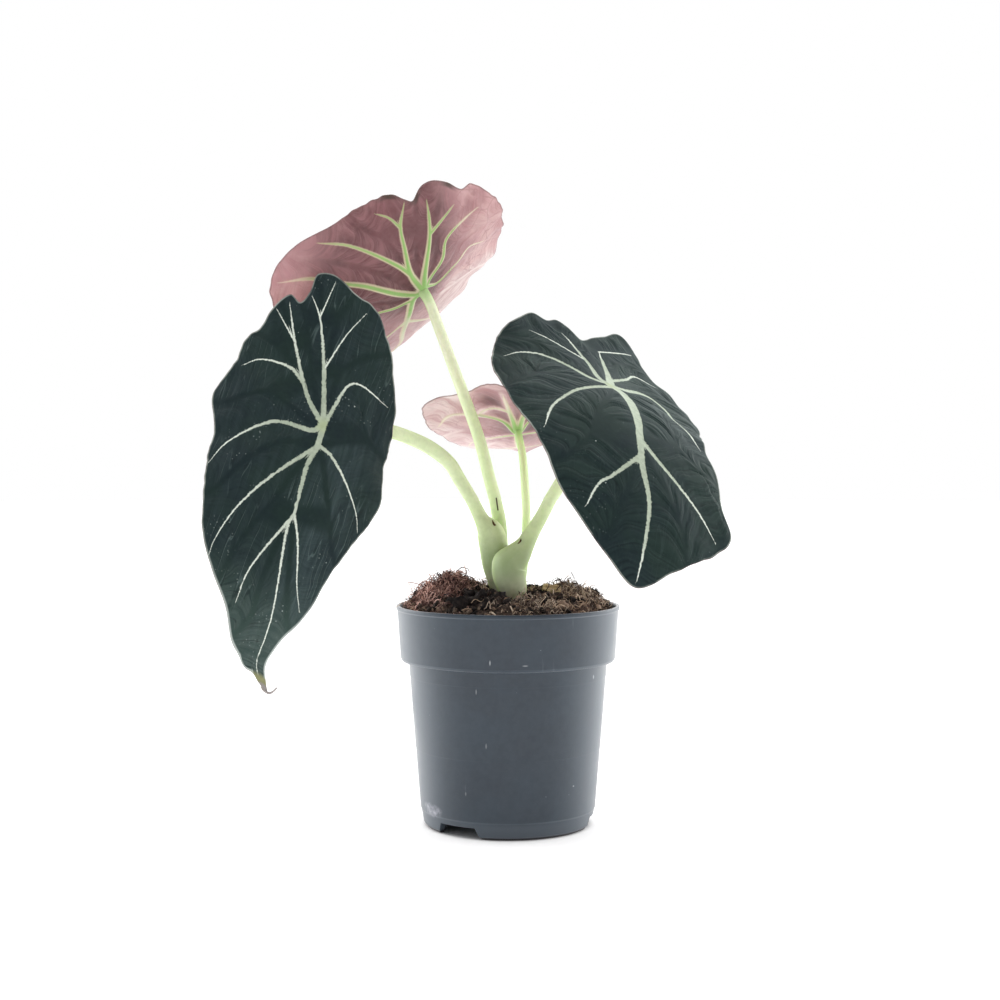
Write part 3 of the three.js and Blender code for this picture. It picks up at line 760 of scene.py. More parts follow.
# Each leaf has a fleshy round stalk. Its lower part is a sheath that wraps the stalks that came up after it,
# with a thin pale margin down each side of the opening and a small withered tip where the margins meet.
STALKS = {  # x, y, z and radius in mm, from the rootstock up to the blade
    "left": [
        (-2.0, 2.5, 107.0, 4.2), (-2.5, 2.5, 118.7, 4.8), (-4.3, 2.5, 128.5, 6.0), (-6.8, 2.0, 139.3, 7.0),
        (-7.8, 1.0, 148.6, 7.6), (-9.3, 0.3, 156.5, 7.3), (-10.9, -0.3, 159.6, 6.3),
        (-13.9, -0.8, 163.8, 4.2), (-19.4, -2.0, 174.7, 3.5), (-25.8, -4.5, 185.5, 3.5),
        (-31.5, -8.0, 194.8, 3.6), (-41.8, -13.5, 203.0, 3.7), (-52.5, -20.5, 208.2, 3.6),
        (-62.0, -28.5, 211.4, 3.5), (-74.0, -39.0, 213.2, 3.3), (-85.0, -50.0, 213.5, 3.1),
        (-93.1, -60.0, 213.7, 2.9),
    ],
    "right": [
        (4.3, -3.5, 107.0, 4.6), (4.3, -5.0, 118.8, 5.2), (2.6, -6.0, 126.5, 7.6), (0.6, -6.0, 134.5, 8.9),
        (0.9, -6.0, 141.0, 9.0), (6.0, -6.0, 146.3, 6.9), (9.6, -6.0, 151.4, 4.9), (13.4, -6.0, 158.2, 4.0),
        (18.1, -6.0, 166.2, 3.5), (22.5, -7.0, 174.8, 3.4), (26.7, -8.0, 181.8, 3.4),
        (35.0, -12.0, 196.5, 3.3), (45.4, -20.0, 217.0, 3.1), (53.8, -30.0, 234.8, 2.9),
    ],
    "top": [
        (-0.5, 9.0, 107.0, 3.0), (-0.5, 9.0, 119.7, 3.2), (-2.2, 9.0, 133.4, 3.5), (-3.8, 8.5, 149.8, 3.8),
        (-4.7, 8.0, 162.4, 3.7), (-5.8, 8.0, 168.9, 3.6), (-7.3, 7.0, 176.0, 3.4), (-9.8, 6.0, 185.3, 3.3),
        (-15.4, 4.0, 207.0, 3.2), (-24.4, 6.0, 232.5, 3.1), (-30.0, 9.0, 247.4, 3.0),
        (-37.2, 12.5, 266.8, 2.9), (-43.0, 15.5, 282.5, 2.8), (-47.9, 18.0, 290.8, 2.6),
    ],
    "small": [
        (6.2, 7.5, 107.0, 2.4), (6.2, 8.5, 119.7, 2.4), (7.8, 9.0, 133.4, 2.4), (9.4, 9.5, 147.1, 2.4),
        (9.9, 11.0, 157.9, 2.3), (10.2, 14.0, 166.3, 2.3), (9.6, 22.0, 180.0, 2.2), (8.3, 37.0, 198.6, 2.1),
        (6.4, 47.0, 209.5, 2.0), (5.7, 52.0, 213.8, 1.9),
    ],
}
# The opening of a sheath runs from its front margin, an angle in degrees, by its span, from apex down to foot
# in mm.
SHEATHS = {
    "left": {"front": -12, "span": 120, "apex": 163.5, "foot": 138},
    "right": {"front": 192, "span": -115, "apex": 155.5, "foot": 132},
}
SHEATH_STEP = 1.1
MARGIN_RISE = 0.4
MARGIN_WIDTH = 0.7
STALK_TONES_AND_PAINTED_LIGHT = [  # colour over the green of the foot, and the heights in metres where it begins and is full
    ((202, 216, 168), 0.142, 0.16), ((223, 233, 196), 0.155, 0.18), ((250, 255, 228), 0.2, 0.26),
]
# How strongly each stalk is painted fresher: partly its young skin, partly painted light.
FRESHNESS_AND_PAINTED_LIGHT = {"left": 0.1, "right": 0.2, "top": 0.3, "small": 1.0}
END_FLARE = {"amount": 0.5, "reach": 4.5}
STALK_SCAR = {
    "stalk": "top", "from": (-6.2, 3.5, 175.5), "to": (-5.4, 4.3, 169.0), "width": 0.55, "depth": 0.4,
}

stalk_skin, tree, shader, place = finish_of(
    "stalk_skin", Subsurface_Weight=0.7, Subsurface_Scale=0.006, Specular_IOR_Level=0.35,
    Subsurface_Radius=(0.9, 1.0, 0.75),
)
height = add("SeparateXYZ", [place]).outputs["Z"]
strand = add("Attribute", attribute_name="strand").outputs["Vector"]
streak = mottling(5.0, 0.3, 0.7, at=strand)
cloud = mottling(55.0, 0.35, 0.65)
# The stalk is painted darker near the soil, partly its own green and partly painted shade, and paler higher up,
# partly its own colour and partly a painted glow of light through the flesh.
green = tint(ramp(height, 0.118, 0.14), (242, 242, 222), (154, 172, 126))
for tone, begins, full in STALK_TONES_AND_PAINTED_LIGHT:
    green = over(green, tone, ramp(height, begins, full))
green = over(green, (236, 238, 214), streak, 0.06)
green = over(green, (160, 186, 120), cloud, 0.1)
fine = mottling(300.0, 0.4, 0.65)
green = over(green, (134, 156, 104), fine, ramp(height, 0.15, 0.2, 0.2, 0.14))
# The stalk is painted greener where it is seen along its surface, a painted rim glow of light through its
# edges.
painted_rim_light = add("LayerWeight", {"Blend": 0.5}).outputs["Facing"]
green = over(green, (196, 220, 128), ramp(painted_rim_light, 0.35, 0.95, 0.0, 0.6))
# Each stalk is painted paler and greener by its own amount, most the small one: partly its younger skin, partly
# painted light that makes up for the dimmer, pinker light where it stands behind.
fresh_and_painted_light = kept("fresh_and_painted_light")
green = over(green, (232, 254, 206), fresh_and_painted_light, 0.75)
green = over(green, (172, 220, 108), ramp(painted_rim_light, 0.2, 0.85, 0.0, 0.7), fresh_and_painted_light)
green = over(green, (150, 188, 110), kept("by_blade"))
green = over(green, (214, 218, 190), kept("lip"), 0.45)
green = over(green, (74, 62, 38), ramp(kept("withered"), 0.35, 0.65))
skin(green, streak, 0.46, 0.54)
relief(streak, 0.05, 0.0003)


def near(away, width):
    """From 1 where a distance is 0 down to 0 past its width."""
    return np.exp(-(away / width) ** 2)


for name, points in STALKS.items():
    stalk = piece(f"{name}_stalk", thread(64, 12 * (len(points) - 1)))
    centre, radius, outward, along, angle = stem(corners_of(stalk), points)
    radius = radius * (1 + 0.012 * np.sin(3 * angle + 9 * along) + 0.01 * np.sin(40 * along) * np.sin(angle))
    from_end = np.linalg.norm(centre - np.array(points[-1][:3]), axis=1)
    radius *= 1 + END_FLARE["amount"] * near(from_end, END_FLARE["reach"])
    lip_mask = np.zeros(len(angle))
    if name in SHEATHS:
        sheath = SHEATHS[name]
        level = centre[:, 2]
        open_share = np.clip((sheath["apex"] - level) / (sheath["apex"] - sheath["foot"]), 0, 1)
        way = math.copysign(1, sheath["span"])
        front = math.radians(sheath["front"])
        past_front = np.mod((angle - front) * way + 1, 2 * np.pi) - 1
        span = math.radians(abs(sheath["span"])) * open_share ** 0.6
        inside = smooth(past_front, 0, 0.06) * (1 - smooth(past_front, span - 0.06, span))
        inside *= smooth(open_share, 0, 0.03)
        lower = 1 - smooth(open_share, 0.8, 1.0)
        lip_mask = near(past_front * radius, MARGIN_WIDTH) + near((past_front - span) * radius, MARGIN_WIDTH)
        lip_mask = np.clip(lip_mask, 0, 1) * smooth(open_share, 0, 0.02) * lower
        radius = radius - SHEATH_STEP * inside * lower + MARGIN_RISE * lip_mask * (1 - inside)
    skin_points = centre + outward * radius[:, None]
    scar = np.zeros(len(angle))
    if name == STALK_SCAR["stalk"]:
        a, b = np.array(STALK_SCAR["from"]), np.array(STALK_SCAR["to"])
        share = np.clip((skin_points - a) @ (b - a) / ((b - a) @ (b - a)), 0, 1)
        away = np.linalg.norm(skin_points - a - share[:, None] * (b - a), axis=1)
        scar = near(away, STALK_SCAR["width"])
        skin_points -= outward * (STALK_SCAR["depth"] * scar)[:, None]
    place_corners(stalk, in_place(skin_points))
    mark(stalk, "lip", lip_mask)
    mark(stalk, "withered", scar)
    mark(stalk, "fresh_and_painted_light", np.full(len(angle), FRESHNESS_AND_PAINTED_LIGHT[name]))
    mark(stalk, "by_blade", 0.9 * (1 - smooth(from_end, 1.0, 14.0)))
    strands = stalk.data.attributes.new("strand", "FLOAT_VECTOR", "POINT")
    strands.data.foreach_set(
        "vector", np.stack([np.cos(angle), np.sin(angle), along * 0.5], 1).astype(np.float32).ravel()
    )
    stalk.data.materials.append(stalk_skin)
    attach(stalk, "root")
    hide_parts(f"{name}_leaf_stalk")

# The withered tips of the two sheaths are small dry brown points. Each is the dead end of the thin margin, and
# still hangs on where the opening begins.
SHEATH_TIPS = [(-7.8, -5.0, 162.4, -0.35), (6.6, -9.8, 152.6, 0.3)]
SHEATH_TIP = {"base": 1.0, "point": 0.2, "length": 3.2, "flat": 0.6}
SHEATH_TIP_ROUGHNESS = {"reach": 0.0004, "scale": 900}
tips_mesh = bmesh.new()
for x, y, z, lean in SHEATH_TIPS:
    pose = Matrix.Translation(AXIS + Vector((x, y, z)) * MM) @ Matrix.Rotation(lean, 4, "Y")
    bmesh.ops.create_cone(
        tips_mesh, cap_ends=True, segments=12, radius1=SHEATH_TIP["base"] * MM,
        radius2=SHEATH_TIP["point"] * MM, depth=SHEATH_TIP["length"] * MM,
        matrix=pose @ Matrix.Diagonal((1, SHEATH_TIP["flat"], 1, 1)),
    )
bmesh.ops.subdivide_edges(tips_mesh, edges=tips_mesh.edges[:], cuts=2)
roughen(tips_mesh, **SHEATH_TIP_ROUGHNESS)
tips = piece("sheath_tips", tips_mesh)
withered_skin, tree, shader, place = finish_of("withered_tip", Specular_IOR_Level=0.2)
cloud = mottling(700.0, 0.3, 0.7)
skin(tint(cloud, (50, 40, 28), (112, 88, 56)), cloud, 0.7, 0.9)
tips.data.materials.append(withered_skin)
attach(tips, "root")

# A leaf blade is a thin shield with two joined lobes behind its stalk, which it grows on. Pale veins lie sunk
# in its dark velvet top and stand out as ribs on its pink underside, and fine side veins pucker the blade
# between them.

# Each blade is drawn flat, as (u, v) mm round its stalk with u along the midrib to the tip, and is then bent.
# Arch, curl and twist are in degrees per 100 mm, and a pair is for the two sides. A vein is its half width in
# mm at its start and end, and its points. The underside is painted paler where light shines through the blade,
# a painted glow: its level is a base, and shares that come in along u (0) or v (1).
BLADES = {
    "left": {
        "join": (-93.1, -60.0, 213.7), "heading": 205, "pitch": -60, "roll": 43, "arch": (20, -12),
        "curl": (50, 48), "fold": (8, 8), "twist": (-5, 0), "wave": 0.7, "taper": (2.2, 1.3), "crease": 0.4,
        "frill": 0.008, "dust_and_painted_light": (13, 13), "tip_turn": (120, 0.045), "dry_tip": (137, 3), "tip_sheen_zone": (60, 128),
        "painted_glow": (0.35, []),
        "outline": [
            (137, 3), (131, 7.6), (125.5, 9.3), (112, 13.4), (93, 23), (74, 28), (54, 35), (41, 40), (29, 44),
            (13, 42), (-5, 39), (-27, 35), (-44, 27), (-59, 18), (-72, 7), (-76, -5), (-82, -18), (-80, -26),
            (-69, -27), (-62, -30), (-65, -36), (-56, -42), (-45, -46), (-37, -52), (-22, -54), (-6, -60),
            (12, -54), (29, -52), (51, -47), (71, -41), (88, -30), (103, -18), (117.4, -9.9), (123.5, -4.4),
            (127.9, -2.2), (129.2, 1.4), (133.2, 2.2),
        ],
        "veins": [
            (1.55, 0.25, [(0, 0), (12, 0), (23, -2), (49, -1), (56, -2), (102, 5), (120, 5), (132, 4)]),
            (1.45, 0.2, [(0, -1), (4, -4), (4, -22), (9, -32), (22, -45), (35, -50)]),
            (1.15, 0.15, [(12, 0), (35, -18), (55, -29), (74, -34), (82, -34)]),
            (0.75, 0.2, [(50, -1), (82, -13), (100, -14)]),
            (1.0, 0.15, [(11, 0), (14, 9), (35, 31), (44, 36)]),
            (0.65, 0.15, [(49, -1), (61, 5), (82, 12), (94, 18)]),
            (1.2, 0.2, [(0, 0), (-27, 7), (-29, 12), (-25, 30)]),
            (1.5, 0.35, [(0, 0), (-30, -8), (-57, -18), (-67, -25)]),
            (0.5, 0.15, [(-30, -8), (-53, -2), (-67, 4)]),
            (0.4, 0.15, [(-57, -18), (-78, -16)]),
            (1.4, 0.3, [(0, 0), (-12, -11), (-40, -26), (-60, -35)]),
            (0.45, 0.15, [(-40, -26), (-55, -40)]),
            (1.0, 0.2, [(-20, -16), (-26, -24), (-28, -36), (-27, -43), (-23, -49)]),
        ],
    },
    "right": {
        "join": (53.8, -30.0, 234.8), "heading": 160, "pitch": -22, "roll": 18, "arch": (49, -32),
        "curl": (7, 46), "fold": (5, 4), "twist": (2, 5), "wave": 0.7, "taper": (1.8, 1.0), "crease": 1.0,
        "frill": 0.005, "painted_glow": (0.35, []),
        "outline": [
            (132, 0), (120, 19), (111, 33), (102, 46), (93, 53), (77, 49), (57, 50), (40, 49), (25, 51),
            (10, 58), (-4, 63), (-18, 62), (-33, 59), (-44, 50), (-56, 44), (-66, 43), (-76, 31), (-68, 19),
            (-60, 8), (-55, 0), (-61, -8), (-65, -14), (-62, -21), (-65, -29), (-56, -40), (-48, -49),
            (-36, -55), (-22, -60), (-5, -61), (18, -61), (41, -57), (63, -50), (84, -44), (104, -31),
            (120, -16),
        ],
        "veins": [
            (4.2, 0.7, [(0, 0), (10, 4), (26, 4), (66, -1), (89, 2), (110, 1), (130, 0)]),
            (1.9, 0.4, [(0, 0), (-7, -4), (-26, -4), (-48, -10), (-53, -13)]),
            (0.6, 0.25, [(-30, -5), (-44, -24), (-48, -33)]),
            (1.7, 0.3, [(-1, -1), (-5, -10), (-15, -17), (-23, -25), (-28, -34), (-29, -44), (-26, -52)]),
            (1.6, 0.4, [(2, 1), (9, -15), (15, -26), (24, -36), (32, -43), (48, -49)]),
            (1.35, 0.3, [(62, -1), (78, -18), (83, -24), (97, -30)]),
            (3.0, 0.5, [(0, 0), (-23, 7), (-48, 10)]),
            (0.5, 0.25, [(-48, 10), (-62, 37)]),
            (1.3, 0.35, [(-10, 3), (-28, 22), (-39, 33), (-38, 47)]),
            (1.9, 0.55, [(0, 0), (-5, 11), (-15, 26), (-16, 35), (-7, 40), (8, 40), (36, 45)]),
            (1.5, 0.2, [(50, 0.5), (60, 8), (85, 33), (98, 43)]),
        ],
    },
    "top": {
        "join": (-47.9, 18.0, 290.8), "heading": -11, "pitch": -32, "roll": 23, "arch": (-27, -94),
        "curl": (-12, -16), "fold": (4, -12), "twist": (-4, 0), "wave": 1.0, "taper": (1.5, 1.3), "crease": 0.8,
        "frill": 0.011, "rolled": [(-56, -2, 4), (-57, -23, 4.5), (-60, 12, 5)],
        "painted_glow": (0.0, [(1, -8, -30, 0.85), (1, 36, 78, 0.85), (0, 4, 30, 0.75)]),
        "outline": [
            (124, 1), (110, 17), (92, 36), (67, 54), (41, 68), (18, 78), (-4, 83), (-22, 86), (-38, 82),
            (-49, 67), (-54, 46), (-59, 29), (-61, 15), (-59, 8), (-54, 1), (-59, -6), (-61, -12), (-58, -22),
            (-52, -30), (-53, -37), (-45, -47), (-34, -54), (-16, -60), (6, -66), (27, -62), (46, -57),
            (67, -50), (94, -34), (111, -16),
        ],
        "veins": [
            (2.0, 0.6, [(0, 0), (7, 4), (23, 4), (47, 3), (66, -1), (95, 0), (122, 1)]),
            (1.9, 0.6, [(0, 1), (2, 5), (-16, 35), (-22, 49), (-29, 64), (-31, 81)]),
            (1.2, 0.45, [(-13, 7), (-22, 15), (-41, 40), (-47, 56)]),
            (1.8, 0.5, [(0, 0), (-15, 8), (-31, 10), (-43, 10), (-54, 5)]),
            (0.7, 0.3, [(-42, 10), (-49, 15), (-53, 21)]),
            (2.0, 0.55, [(0, 0), (-17, -2), (-35, -6), (-52, -8)]),
            (0.8, 0.35, [(-34, -6), (-45, -23)]),
            (1.2, 0.4, [(0, 0), (-14, -13), (-27, -16), (-35, -29), (-39, -38)]),
            (1.0, 0.4, [(-1, -3), (5, -12), (-4, -26), (-13, -33), (-9, -46)]),
            (1.1, 0.4, [(8, 4), (10, 15), (9, 30), (24, 50)]),
            (0.9, 0.35, [(30, 4), (48, 20), (66, 36), (78, 42)]),
            (0.9, 0.35, [(30, 4), (48, -14), (66, -30), (78, -38)]),
        ],
    },
    "small": {
        "join": (5.7, 52.0, 213.8), "heading": 1, "pitch": -23, "roll": -17, "arch": (-35, -2),
        "curl": (36, 20), "fold": (4, -42), "twist": (-1, 0), "wave": 0.5, "taper": (1.5, 1.3), "crease": 0.8,
        "frill": 0.01, "painted_glow": (1.3, [(1, 14, -14, -0.75)]), "dry_tip": (93, 1),
        "shaded": [(0, 0, 28, 0.8), (-30, 15, 10, 1.05)],
        "outline": [
            (93, 1), (82, 13), (69, 27), (49, 36), (29, 43), (8, 50), (-11, 54), (-24, 51), (-33, 37),
            (-41, 25), (-51, 13), (-49, 6), (-41, 0), (-49, -8), (-51, -14), (-41, -27), (-31, -38),
            (-15, -44), (4, -44), (27, -39), (49, -31), (70, -22), (85, -9),
        ],
        "veins": [
            (1.3, 0.4, [(0, 0), (30, 1), (60, 0), (91, 1)]),
            (1.8, 0.7, [(0, 0), (-15, 3), (-41, 8)]),
            (1.8, 0.7, [(0, 0), (-15, -3), (-41, -8)]),
            (1.7, 0.6, [(0, 1), (-9, 10), (-11, 24), (-9, 38), (4, 46)]),
            (1.0, 0.35, [(0, -1), (-9, -10), (-11, -22), (-7, -36), (6, -42)]),
            (0.8, 0.25, [(-21, 5), (-22.5, 10), (-22.5, 14), (-18, 19), (-10, 23)]),
            (0.6, 0.25, [(-22, -4), (-30, -14), (-32, -26)]),
            (0.7, 0.3, [(8, 0), (20, 14), (34, 28), (48, 32)]),
            (0.7, 0.3, [(8, 0), (20, -14), (34, -26), (48, -30)]),
            (0.6, 0.25, [(34, 1), (50, 10), (68, 20)]),
            (0.6, 0.25, [(34, 1), (50, -8), (68, -18)]),
        ],
    },
}
BLADE_THICKNESS = 0.9
BLADE_SPOKES = {"left": 450, "right": 450, "top": 440, "small": 300}
BLADE_RINGS = {"left": 92, "right": 92, "top": 92, "small": 70}
STALK_BOSS = {"height": 2.2, "reach": 6}
SIDE_VEIN_GAP = 3.8
SIDE_VEIN_LEAN = 0.15
SIDE_VEIN_TURN = {"amount": 10, "reach": 7}
SIDE_VEIN_DRIFT = [(0.3, 0.19, 0.11, 0), (0.3, -0.09, 0.27, 1), (0.2, 0.41, -0.3, 0)]
FAINTEST_SIDE_VEIN = 0.25
CREASE_WIDTH = 0.16
PUCKER = 0.3
SWELL = 0.4
PANEL_RISE = 1.1
PANEL_REACH = 11
RIB_HEIGHT = 0.7
VEIN_DEPTH = 0.3
# Waves round the edge are an amount, how many go round in 2 pi, and where they start.
EDGE_FRILL = [(0.5, 17, 1), (0.3, 41, 0), (0.3, 67, 2)]
FRILL_FADE = (2.5, 0.6)
EDGE_WAVES = [(1.0, 7, 0.8), (0.7, 12, 0)]
EDGE_RIPPLE = [(0.5, 23, 2)]
SEAT_DEPTH = -0.35
SEAT_REACH = 14
LONGEST_STEP = 4


def vein_fields(veins, taper, flat):
    """What the veins are at each flat point: the signed way across to the nearest vein, the distance to it,
    half its width there, the count of side veins up to that point, which vein it is, and how far the point is
    from the seam where a second vein is as near."""
    count = len(flat)
    best = np.full(count, 1e9)
    second = np.full(count, 1e9)
    offset, half_width, run, aside, own_number = (np.zeros(count) for k in range(5))
    for number, (start_width, end_width, points) in enumerate(veins):
        line = through(points, np.linspace(0, 1, 6 * (len(points) - 1) + 1))
        lengths = np.linalg.norm(np.diff(line, axis=0), axis=1)
        starts = np.concatenate([[0], np.cumsum(lengths)])
        own = np.full(count, 1e9)
        own_offset, own_run, own_aside = (np.zeros(count) for k in range(3))
        for a, b, length, start in zip(line, line[1:], lengths, starts):
            past = (flat - a) @ (b - a) / length ** 2
            t = np.clip(past, 0, 1)
            gap = flat - a - t[:, None] * (b - a)
            away = np.hypot(gap[:, 0], gap[:, 1])
            nearer = away < own
            side = ((b[0] - a[0]) * (flat[:, 1] - a[1]) - (b[1] - a[1]) * (flat[:, 0] - a[0])) / length
            # Beyond the last point of the vein its side veins go on in line, so they make no rings round it.
            if start + length > starts[-1] - 1e-6:
                t = np.maximum(past, 0)
            own = np.where(nearer, away, own)
            own_offset = np.where(nearer, np.sign(side) * away, own_offset)
            own_run = np.where(nearer, start + t * length, own_run)
            own_aside = np.where(nearer, np.abs(side), own_aside)
        share = np.clip(own_run / starts[-1], 0, 1)
        own_width = end_width + (start_width - end_width) * (1 - share) ** taper[min(number, 1)]
        own_width = 0.1 + (own_width - 0.1) * np.minimum(1, (1 - share) / 0.15)
        reach = own - own_width
        nearest = reach < best
        second = np.where(nearest, best, np.minimum(second, reach))
        offset = np.where(nearest, own_offset, offset)
        half_width = np.where(nearest, own_width, half_width)
        run = np.where(nearest, own_run, run)
        aside = np.where(nearest, own_aside, aside)
        own_number = np.where(nearest, number, own_number)
        best = np.where(nearest, reach, best)
    clear = second - best
    lean = SIDE_VEIN_LEAN * aside + SIDE_VEIN_TURN["amount"] * np.exp(-clear / SIDE_VEIN_TURN["reach"])
    branch = (run - lean) / SIDE_VEIN_GAP + 0.37 * own_number
    return offset, best + half_width, half_width, branch, own_number, clear


def bend(blade, u, v):
    """Carries flat points to their place on the bent blade, in mm from the pot's axis."""
    heading, pitch, roll = (math.radians(blade[key]) for key in ("heading", "pitch", "roll"))
    sin, cos = math.sin, math.cos
    along = np.array((sin(heading) * cos(pitch), cos(heading) * cos(pitch), sin(pitch)))
    level = np.array((-sin(heading) * sin(pitch), -cos(heading) * sin(pitch), cos(pitch)))
    across = np.cross(level, along)
    up = cos(roll) * level + sin(roll) * across
    across = cos(roll) * across - sin(roll) * level
    per_mm = math.pi / 180 / 100
    if "tip_turn" in blade:
        start, amount = blade["tip_turn"]
        v = v + amount * np.maximum(u - start, 0) ** 2
    arch = np.where(u > 0, blade["arch"][0], blade["arch"][1]) * per_mm
    lean = (arch * u)[:, None]
    arch = arch[:, None]
    spine = np.array(blade["join"]) + np.sin(lean) / arch * along - (1 - np.cos(lean)) / arch * up
    rising = np.sin(lean) * along + np.cos(lean) * up
    twist = (blade["twist"][0] * per_mm * u + blade["twist"][1] * per_mm * u * np.abs(u) / 100)[:, None]
    sideways = np.cos(twist) * across + np.sin(twist) * rising
    normal = np.cos(twist) * rising - np.sin(twist) * across
    curl = (np.where(v > 0, blade["curl"][0], blade["curl"][1]) * per_mm)[:, None]
    fold = np.radians(np.where(v > 0, blade["fold"][0], blade["fold"][1])) * np.clip(1 + u / 60, 0, 1)
    fold = fold[:, None]
    end = fold + curl * np.abs(v)[:, None]
    outward = (np.sin(end) - np.sin(fold)) / curl
    drop = (np.cos(fold) - np.cos(end)) / curl
    return spine + np.sign(v)[:, None] * outward * sideways - drop * normal


def slopes(blade, u, v, step=0.5):
    """How the bent blade runs on at flat points, for 1 mm along it and for 1 mm across it."""
    run = bend(blade, u + step, v) - bend(blade, u - step, v)
    reach = bend(blade, u, v + step) - bend(blade, u, v - step)
    return run, reach


def bend_normal(blade, u, v):
    normal = np.cross(*slopes(blade, u, v))
    return normal / np.linalg.norm(normal, axis=1, keepdims=True)


def shield(spokes, rings):
    """A flat closed disc of radius 1 with a face at z 1 and at z -1, both with rings round a pole."""
    bm = bmesh.new()
    points = [bm.verts.new(place) for place in ((0, 0, 1), (1, 0, 1), (1, 0, -1), (0, 0, -1))]
    top, edge, bottom = (bm.edges.new(pair) for pair in zip(points, points[1:]))
    bmesh.ops.subdivide_edges(bm, edges=[top, bottom], cuts=rings - 1)
    bmesh.ops.subdivide_edges(bm, edges=[edge], cuts=2)
    bmesh.ops.spin(
        bm, geom=bm.verts[:] + bm.edges[:], cent=(0, 0, 0), axis=(0, 0, 1), angle=2 * math.pi,
        steps=spokes, use_merge=True,
    )
    bmesh.ops.remove_doubles(bm, verts=bm.verts, dist=1e-6)
    bmesh.ops.recalc_face_normals(bm, faces=bm.faces)
    for face in bm.faces:
        face.material_index = 0 if face.calc_center_median().z > 0.99 else 1
    return bm


def rippled(angle, parts):
    return sum(amount * np.sin(count * angle + start) for amount, count, start in parts)


